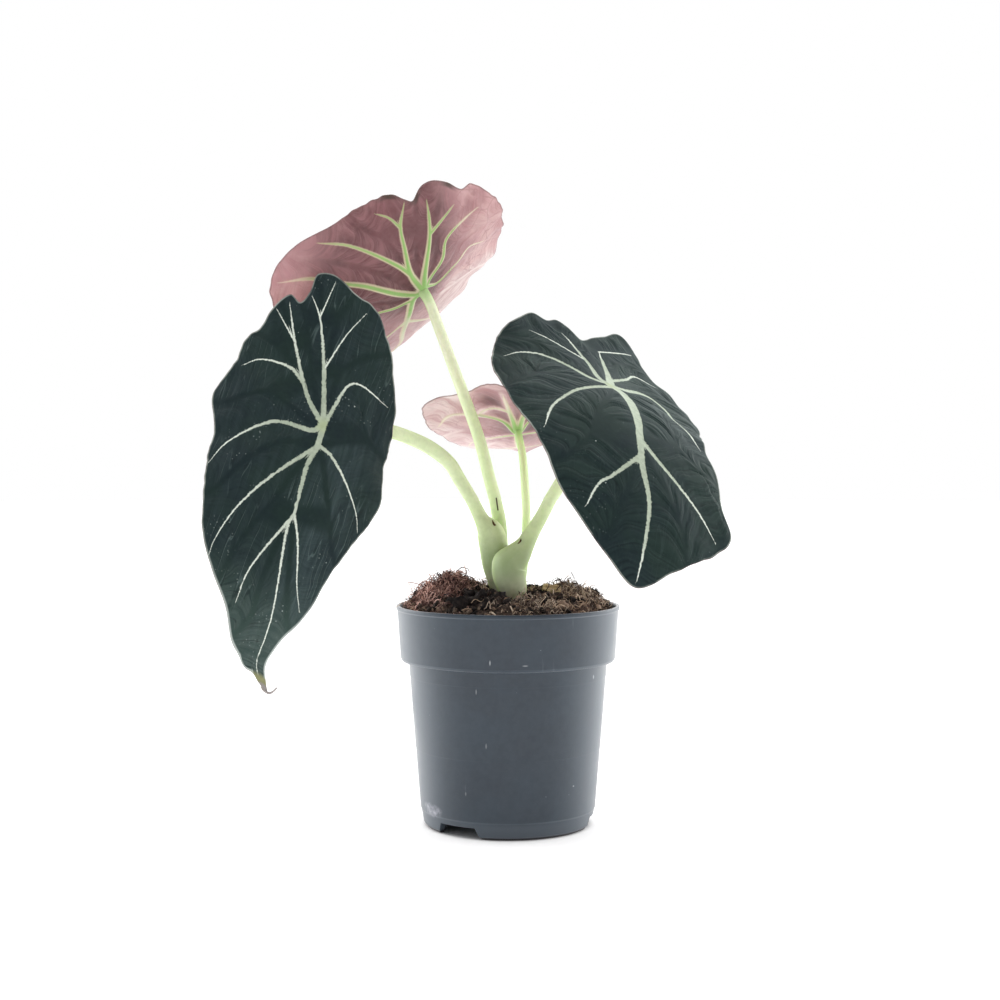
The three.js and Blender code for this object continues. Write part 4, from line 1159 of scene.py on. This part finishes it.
def blade_corners(blade, corners):
    """Turns the flat disc into the blade, and gives its corners in mm with the fields its materials read."""
    ring = np.hypot(corners[:, 0], corners[:, 1])
    turn = np.mod(np.arctan2(corners[:, 1], corners[:, 0]) / (2 * np.pi), 1.0)
    side = corners[:, 2]
    rim = through(blade["outline"], turn, closed=True)
    angle = np.arctan2(rim[:, 1], rim[:, 0])
    fade = np.sin(FRILL_FADE[0] * angle + FRILL_FADE[1]) ** 2
    rim = rim * (1 + blade["frill"] * rippled(angle, EDGE_FRILL) * fade)[:, None]
    rim_length = np.linalg.norm(rim, axis=1)
    u, v = (rim * ring[:, None]).T
    ahead = through(blade["outline"], np.mod(turn + 0.002, 1), closed=True)
    ahead -= through(blade["outline"], np.mod(turn - 0.002, 1), closed=True)
    ahead /= np.linalg.norm(ahead, axis=1, keepdims=True)
    slant = np.abs(rim[:, 0] * ahead[:, 1] - rim[:, 1] * ahead[:, 0])
    edge_away = (1 - ring) * np.maximum(slant, 0.35 * rim_length)
    offset, away, half_width, branch, number, clear = vein_fields(
        blade["veins"], blade["taper"], np.stack([u, v], 1))
    branch += sum(much * np.sin(u * per_u + v * per_v + start) for much, per_u, per_v, start in SIDE_VEIN_DRIFT)
    branch += 0.3 * np.sin(2.1 * branch + number) + 0.04 * np.sin(5.3 * branch)
    scatter = np.mod(np.sin(np.round(branch) * 12.99 + number * 78.2) * 43758.5, 1.0)
    strength = FAINTEST_SIDE_VEIN + (1 - FAINTEST_SIDE_VEIN) * scatter
    tip_sheen_zone = smooth(u, *blade["tip_sheen_zone"]) if "tip_sheen_zone" in blade else np.zeros(len(u))
    strength *= blade["crease"] + (1 - blade["crease"]) * tip_sheen_zone
    panel = smooth(clear, 1.2, 5.0)
    inside = smooth(edge_away, 0.0, 9.0)
    wave = rippled(angle, EDGE_WAVES) + rippled(angle, EDGE_RIPPLE) * ring ** 4
    wave *= blade["wave"] * ring ** 3
    puff = PANEL_RISE * (1 - near(away, PANEL_REACH)) * inside
    crease = 1 - near(np.abs(branch - np.round(branch)), CREASE_WIDTH)
    pucker = -PUCKER * strength * (1 - crease) * panel * smooth(away - half_width, 0.3, 3.0)
    pucker += SWELL * np.sin(1.6 * branch + 2 * number) * panel * smooth(away, 2, 9)
    pucker *= smooth(edge_away, 0.5, 5.0)
    breadth = np.maximum(half_width, 0.7)
    sunk = VEIN_DEPTH * np.minimum(half_width, 1.2) * near(away, 1.3 * breadth + 0.3)
    rib = RIB_HEIGHT * np.minimum(half_width, 2.2) * near(away, 1.15 * breadth)
    boss = STALK_BOSS["height"] * near(np.hypot(u, v), STALK_BOSS["reach"])
    half = BLADE_THICKNESS / 2 * (1 - 0.45 * ring ** 6)
    lift_top = half + puff + pucker - sunk
    lift_bottom = -half + puff + 0.6 * pucker - rib - boss
    lift = np.where(side > 0, lift_top, lift_bottom) * np.abs(side) + puff * (1 - np.abs(side))
    bulge = 1 + 0.25 * (1 - side ** 2) * (ring > 0.999) / rim_length
    u, v = u * bulge, v * bulge
    place = bend(blade, u, v) + bend_normal(blade, u, v) * (wave + lift)[:, None]
    # The underside is painted paler where light shines through the blade, a painted glow, and darker at the
    # shaded spots, a painted shade.
    base, shares = blade["painted_glow"]
    pale = np.full(len(u), base)
    for way, low, high, share in shares:
        pale += share * smooth((u, v)[way], low, high)
    for spot_u, spot_v, reach, depth in blade.get("shaded", ()):
        pale -= depth * near(np.hypot(u - spot_u, v - spot_v), reach) * smooth(away, 1.2, 4.0)
    dry = np.zeros(len(u))
    if "dry_tip" in blade:
        dry = 1 - smooth(np.hypot(u - blade["dry_tip"][0], v - blade["dry_tip"][1]), 2, 12)
    rolled = np.zeros(len(u))
    for roll_u, roll_v, reach in blade.get("rolled", ()):
        rolled = np.maximum(rolled, near(np.hypot(u - roll_u, v - roll_v), reach))
    # The left leaf is painted a little paler all over, a painted light, and more in a band beside its midrib.
    dust_and_painted_light = np.zeros(len(u))
    if "dust_and_painted_light" in blade:
        middle, reach = blade["dust_and_painted_light"]
        dust_and_painted_light = 0.3 + 0.7 * near(v - middle, reach) * smooth(u, -20, 5) * (1 - smooth(u, 90, 120))
    fields = {
        "vein_offset": offset, "vein_away": away, "vein_half": half_width, "side_vein": branch,
        "side_strength": strength, "panel": panel, "edge_away": edge_away, "join_away": np.hypot(u, v),
        "painted_glow": np.clip(pale, 0, 1.5), "dry": dry, "tip_sheen_zone": tip_sheen_zone, "rolled": rolled, "along_blade": u,
        "dust_and_painted_light": dust_and_painted_light, "across_blade": v, "wrinkled": np.full(len(u), 1.1 - blade["crease"]),
    }
    return place, fields


# The veins as masks, from the numbers kept on each blade: the vein itself, the side veins, the swelling
# between side veins and the fine strands along them. An offset changes sign across a vein, so it is crisp
# between corners, and the distance keeps it off false crossings.
VEIN_SLACK = 0.75
tree, given, result = effect(
    "leaf_veins", {"Width": "Float", "Blur": "Float", "Feather": "Float"},
    ["Vein", "Side vein", "Ridge", "Strand", "Streak"],
)
place = add("TexCoord").outputs["Object"]
across = maths("ABSOLUTE", kept("vein_offset"))
across = maths("MAXIMUM", across, minus(kept("vein_away"), VEIN_SLACK))
bristle = times(kept("side_vein"), 4.5)
bristle = add("CombineXYZ", [bristle, times(kept("vein_offset"), 0.7), 0.0]).outputs[0]
fuzz = grained(1.0, 2.0, at=bristle)
fuzz = times(minus(fuzz, 0.5), given["Feather"])
half = times(kept("vein_half"), given["Width"])
half = plus(half, times(fuzz, ramp(half, 0.1, 1.0, 0.4, 1.0)))
depth = maths("DIVIDE", minus(half, across), given["Blur"])
tree.links.new(ramp(depth, -0.5, 0.5), result["Vein"])
phase = maths("FRACT", plus(kept("side_vein"), 0.5))
beside = maths("ABSOLUTE", minus(phase, 0.5))
broken = mottling(110.0, 0.34, 0.6)
side_line = times(ramp(beside, 0.02, 0.13, 1.0, 0.0), kept("panel"))
side_line = times(side_line, broken, kept("side_strength"))
side_line = times(side_line, ramp(across, 0.8, 3.0))
tree.links.new(side_line, result["Side vein"])
swell = times(ramp(beside, 0.08, 0.4), kept("panel"))
tree.links.new(swell, result["Ridge"])
strand = maths("FRACT", times(kept("side_vein"), 3.0))
strand = maths("ABSOLUTE", minus(strand, 0.5))
patchy = mottling(90.0, 0.42, 0.62)
strand = times(ramp(strand, 0.1, 0.5), patchy, kept("panel"))
tree.links.new(strand, result["Strand"])
along_side = times(kept("side_vein"), 1.3)
outward = times(kept("vein_away"), 0.05)
fan = add("CombineXYZ", [along_side, outward, 0.0]).outputs[0]
fan = mottling(1.0, 0.36, 0.64, at=fan)
tree.links.new(times(fan, kept("panel")), result["Streak"])
vein = tree

velvet, tree, shader, place = finish_of(
    "leaf_velvet", Specular_IOR_Level=0.1, Sheen_Weight=0.09, Sheen_Roughness=0.35,
    Sheen_Tint=(0.62, 0.9, 0.82, 1.0),
)
cloud = mottling(30.0, 0.35, 0.65)
fine = mottling(420.0, 0.3, 0.7)
lines = use(vein, Width=1.0, Blur=0.35, Feather=2.2)
green = tint(cloud, (28, 40, 44), (32, 47, 44))
# Toward the tip of the left leaf the velvet is painted paler, with paler streaks, a painted sheen of the
# grazing light there.
tip_sheen_zone = kept("tip_sheen_zone")
green = over(green, (70, 88, 82), ramp(tip_sheen_zone, 0.0, 1.0, 0.0, 0.75))
streak = times(lines["Streak"], kept("side_strength"))
green = over(green, (66, 84, 80), streak, 0.11)
green = over(green, (124, 134, 130), streak, tip_sheen_zone, 0.55)
# Long shallow wrinkles run along the blade in places, each with painted shade in its groove and a painted
# highlight on its lip.
flat = add("CombineXYZ", [kept("along_blade"), kept("across_blade"), 0.0]).outputs[0]
flat = add("Mapping", {"Vector": flat, "Scale": (0.016, 0.2, 1.0)}).outputs[0]
fold = grained(1.0, 1.0, at=flat)
here = times(mottling(22.0, 0.4, 0.6), kept("wrinkled"), kept("panel"))
groove = ramp(maths("ABSOLUTE", minus(fold, 0.5)), 0.0, 0.022, 1.0, 0.0)
painted_lip_highlight = ramp(maths("ABSOLUTE", minus(fold, 0.53)), 0.0, 0.018, 1.0, 0.0)
green = over(green, (18, 27, 29), groove, here, 0.9)
green = over(green, (96, 112, 110), painted_lip_highlight, here, 0.85)
# Dust has worn into the left leaf beside its midrib as a paler haze, and the whole left leaf is painted a
# little paler as painted light.
dust_and_light_mask = times(kept("dust_and_painted_light"), kept("panel"))
film = mottling(1.6, 0.35, 0.7, at=flat)
green = over(green, (76, 90, 94), plus(film, 0.3), dust_and_light_mask, 0.42)
threads = times(lines["Strand"], kept("side_strength"))
green = over(green, (62, 80, 74), threads, 0.3)
green = over(green, (52, 70, 66), fine, 0.12)
# The creases of the side veins are painted dark, a painted shade, and the swellings between them a little
# paler, a painted highlight.
green = over(green, (16, 25, 27), lines["Side vein"], 0.6)
green = over(green, (62, 80, 74), lines["Ridge"], kept("side_strength"), 0.12)
mint = tint(fine, (168, 180, 160), (188, 198, 178))
mint = over(mint, (240, 247, 236), ramp(kept("vein_half"), 0.2, 1.1, 0.9, 0.0))
mint = over(mint, (172, 186, 130), ramp(kept("join_away"), 1.0, 6.0, 0.5, 0.0))
green = tint(lines["Vein"], green, mint)
patchy = mottling(60.0, 0.3, 0.6)
green = over(green, (158, 166, 158), ramp(kept("edge_away"), 0.2, 0.9, 0.95, 0.0), patchy)
green = over(green, (196, 204, 200), ramp(kept("edge_away"), 0.5, 1.3, 0.9, 0.0), tip_sheen_zone)
specks = dust_specks(650.0, 0.3, 0.25)
strewn = times(mottling(42.0, 0.52, 0.66), plus(times(dust_and_light_mask, 1.5), 0.25))
green = over(green, (150, 162, 158), specks, strewn, 0.6)
specks = dust_specks(240.0, 0.02, 0.09)
green = over(green, (196, 206, 202), specks, 0.8)
green = over(green, (142, 142, 104), ramp(kept("dry"), 0.1, 0.6))
green = over(green, (150, 144, 142), ramp(kept("dry"), 0.75, 1.0))
skin(green, lines["Vein"], 0.6, 0.5)
raised = plus(times(grained(1500.0, 3.0), 0.15), times(lines["Ridge"], 0.35))
raised = plus(raised, times(lines["Strand"], 0.35))
relief(minus(raised, times(groove, here)), 0.5, 0.0004)

underside, tree, shader, place = finish_of(
    "leaf_underside", Specular_IOR_Level=0.3, Subsurface_Weight=0.35, Subsurface_Scale=0.003,
    Subsurface_Radius=(1.0, 0.8, 0.8),
)
pale = kept("painted_glow")
cloud = mottling(30.0, 0.38, 0.62)
fine = mottling(300.0, 0.3, 0.7)
lines = use(vein, Width=1.5, Blur=0.9, Feather=0.5)
core = use(vein, Width=0.8, Blur=0.8, Feather=0.3)
mauve = tint(cloud, (84, 54, 56), (108, 71, 74))
mauve = over(mauve, (170, 126, 130), lines["Streak"], 0.34)
mauve = over(mauve, (146, 116, 116), fine, 0.2)
# Where light shines through the blade the underside is painted a paler rose over the mauve, a painted glow.
rose = tint(cloud, (168, 132, 134), (200, 170, 168))
rose = over(rose, (214, 198, 194), ramp(pale, 1.0, 1.3))
rose = over(rose, (166, 118, 124), lines["Streak"], ramp(pale, 1.0, 1.3, 0.3, 0.6))
mauve = tint(pale, mauve, rose)
# The paler parts have a few thin darker lines that wander like cracks.
swirl = add("TexNoise", {"Vector": place, "Scale": 60.0, "Detail": 3.0}).outputs["Color"]
warped = vectors("ADD", place, vectors("MULTIPLY", swirl, (0.012, 0.012, 0.012))[0])[0]
net = add("TexVoronoi", {"Vector": warped, "Scale": 95.0}, feature="DISTANCE_TO_EDGE").outputs["Distance"]
broken = mottling(60.0, 0.45, 0.6)
net = times(ramp(net, 0.0, 0.05, 0.4, 0.0), pale, broken)
mauve = over(mauve, (116, 76, 82), net, ramp(pale, 0.9, 1.25, 1.0, 0.3))
# The creases of the side veins are painted darker, a painted shade.
mauve = over(mauve, (104, 66, 72), lines["Side vein"], 0.25)
border = ramp(kept("join_away"), 20.0, 80.0, 0.9, 0.6)
mauve = over(mauve, (206, 198, 168), lines["Vein"], border)
by_join = ramp(kept("join_away"), 8.0, 34.0, 1.0, 0.0)
rib = tint(by_join, (214, 208, 190), (150, 190, 112))
rib = tint(ramp(pale, 0.5, 0.9), (140, 182, 104), rib)
far = ramp(kept("join_away"), 30.0, 90.0, 0.95, 0.35)
mauve = tint(times(core["Vein"], far), mauve, rib)
mauve = over(mauve, (96, 80, 78), ramp(kept("edge_away"), 0.2, 0.8, 0.6, 0.0))
mauve = over(mauve, (40, 44, 36), kept("rolled"), ramp(kept("edge_away"), 1.5, 3.0, 0.9, 0.0))
mauve = over(mauve, (142, 138, 116), ramp(kept("dry"), 0.1, 0.9))
skin(mauve, fine, 0.45, 0.58)
relief(plus(times(fine, 0.2), times(lines["Streak"], 0.8)), 0.5, 0.0006)

for name, blade in BLADES.items():
    leaf = piece(f"{name}_blade", shield(BLADE_SPOKES[name], BLADE_RINGS[name]))
    place, fields = blade_corners(blade, corners_of(leaf))
    place_corners(leaf, in_place(place))
    leaf.data.shade_smooth()
    for label, values in fields.items():
        mark(leaf, label, values)
    leaf.data.materials.append(velvet)
    leaf.data.materials.append(underside)
    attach(leaf, "root")
    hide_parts(f"{name}_leaf_blade")
    # The end of its stalk widens and is grown into the blade from below, a little under the top of the blade.
    stalk = bpy.data.objects[f"{name}_stalk"]
    ends = (corners_of(stalk) - np.array(AXIS)) / MM
    close = np.linalg.norm(ends - np.array(blade["join"]), axis=1) < SEAT_REACH
    u, v = np.zeros(close.sum()), np.zeros(close.sum())
    for k in range(6):
        miss = ends[close] - bend(blade, u, v)
        run, reach = slopes(blade, u, v)
        u += np.clip((miss * run).sum(1), -LONGEST_STEP, LONGEST_STEP)
        v += np.clip((miss * reach).sum(1), -LONGEST_STEP, LONGEST_STEP)
    normal = bend_normal(blade, u, v)
    above = ((ends[close] - bend(blade, u, v)) * normal).sum(1)
    from_join = np.linalg.norm(ends[close] - np.array(blade["join"]), axis=1)
    missing = np.minimum(SEAT_DEPTH - above, LONGEST_STEP) * (1 - smooth(from_join, 3.0, 8.0))
    ends[close] += normal * np.where(above > SEAT_DEPTH, SEAT_DEPTH - above, missing)[:, None]
    place_corners(stalk, in_place(ends))

# The left leaf ends in a drip tip, the last of its midrib without a blade. It is a thread that has dried grey
# brown, still grows on the blade, and hooks forward.
DRIP_TIP = [  # x, y, z in mm from the tip of the blade, and radius
    (-0.8, 0, 1.6, 0.6), (0, 0, 0, 0.6), (1.6, -0.3, -1.2, 0.6), (3.4, -0.6, -1.6, 0.6),
    (5.2, -0.9, -0.6, 0.55), (6.8, -1.2, 1.2, 0.4),
]
blade = BLADES["left"]
tip_u, tip_v = (np.array([value - 0.6], float) for value in blade["dry_tip"])
tip = bend(blade, tip_u, tip_v)[0]
path = [(tip[0] + x, tip[1] + y, tip[2] + z, radius) for x, y, z, radius in DRIP_TIP]
drip_tip = piece("left_drip_tip", thread(10, 24))
centre, radius, outward, along, angle = stem(corners_of(drip_tip), path)
place_corners(drip_tip, in_place(centre + outward * radius[:, None]))
dried, tree, shader, place = finish_of("dried_tip", Specular_IOR_Level=0.25)
cloud = mottling(500.0, 0.3, 0.7)
skin(tint(cloud, (150, 142, 140), (184, 176, 174)), cloud, 0.6, 0.8)
drip_tip.data.materials.append(dried)
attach(drip_tip, "root")

# The studio is a pale floor of seamless paper that glows of itself, with a painted shadow under the pot where
# the glow is turned off, and soft light from above and from both sides. The camera stands on a level with the
# stalks and looks down a little.
CAMERA_AWAY = 0.9
CAMERA_HEIGHT = 0.201
CAMERA_ASIDE = -0.0043
CAMERA_DOWN_DEG = 1.68
CAMERA_LENS = 60.08
FLOOR = {"radius": 6.0, "below": 0.0002}
floor_mesh = bmesh.new()
bmesh.ops.create_circle(floor_mesh, cap_ends=True, segments=96, radius=FLOOR["radius"])
bmesh.ops.translate(floor_mesh, verts=floor_mesh.verts, vec=(0, 0, -FLOOR["below"]))
floor = piece("floor", floor_mesh)
paper, tree, shader, place = finish_of(
    "floor_paper", Roughness=0.9, Specular_IOR_Level=0.1, Emission_Strength=0.34,
)
cloud = mottling(3.0, 0.2, 0.8)
feed("Base Color", tint(cloud, (0.9, 0.9, 0.9, 1), (0.92, 0.92, 0.92, 1)))
# The paper's own glow is turned off under the pot and close round its foot, a painted shadow.
from_axis = vectors("DISTANCE", place, tuple(AXIS))["Value"]
feed("Emission Color", tint(ramp(from_axis, 0.042, 0.0475), (0, 0, 0, 1), (1, 1, 1, 1)))
floor.data.materials.append(paper)

# The white wall behind the plant is much brighter than the room in front of it. Both are the world's own
# light, and the camera sees plain white beyond the floor.
LIGHT_BEHIND = 1.8
LIGHT_IN_FRONT = 0.32
world = bpy.data.worlds.new("studio")
world.use_nodes = True
bpy.context.scene.world = world
tree = world.node_tree
sky = tree.nodes["Background"]
toward = add("SeparateXYZ", [add("TexCoord").outputs["Generated"]]).outputs["Y"]
brightness = ramp(toward, -0.75, 0.35, LIGHT_IN_FRONT, LIGHT_BEHIND)
seen = add("LightPath").outputs["Is Camera Ray"]
brightness = add("Mix", {0: seen, 2: brightness, 3: 1.0}, data_type="FLOAT").outputs[0]
sky.inputs["Color"].default_value = (1, 1, 1, 1)
tree.links.new(brightness, sky.inputs["Strength"])


def softbox(name, place, aim, size, power):
    lamp = bpy.data.lights.new(name, "AREA")
    lamp.size = size
    lamp.energy = power
    made = bpy.data.objects.new(name, lamp)
    made.location = place
    made.rotation_euler = (Vector(aim) - Vector(place)).to_track_quat("-Z", "Y").to_euler()
    bpy.context.scene.collection.objects.link(made)


softbox("light_above", (0.1, 0.1, 1.4), (0, 0, 0.1), 1.2, 3)
softbox("light_left", (-1.2, 0.5, 0.5), (0, 0, 0.15), 0.9, 4)
softbox("light_right", (1.2, 0.6, 0.5), (0, 0, 0.15), 0.9, 4)

lens = bpy.data.cameras.new("camera")
lens.sensor_width = 36
lens.lens = CAMERA_LENS
camera = bpy.data.objects.new("camera", lens)
camera.location = AXIS + Vector((CAMERA_ASIDE, -CAMERA_AWAY, CAMERA_HEIGHT))
camera.rotation_euler = (math.radians(90 - CAMERA_DOWN_DEG), 0, 0)
bpy.context.scene.collection.objects.link(camera)
bpy.context.scene.camera = camera
bpy.context.scene.view_settings.view_transform = "Standard"
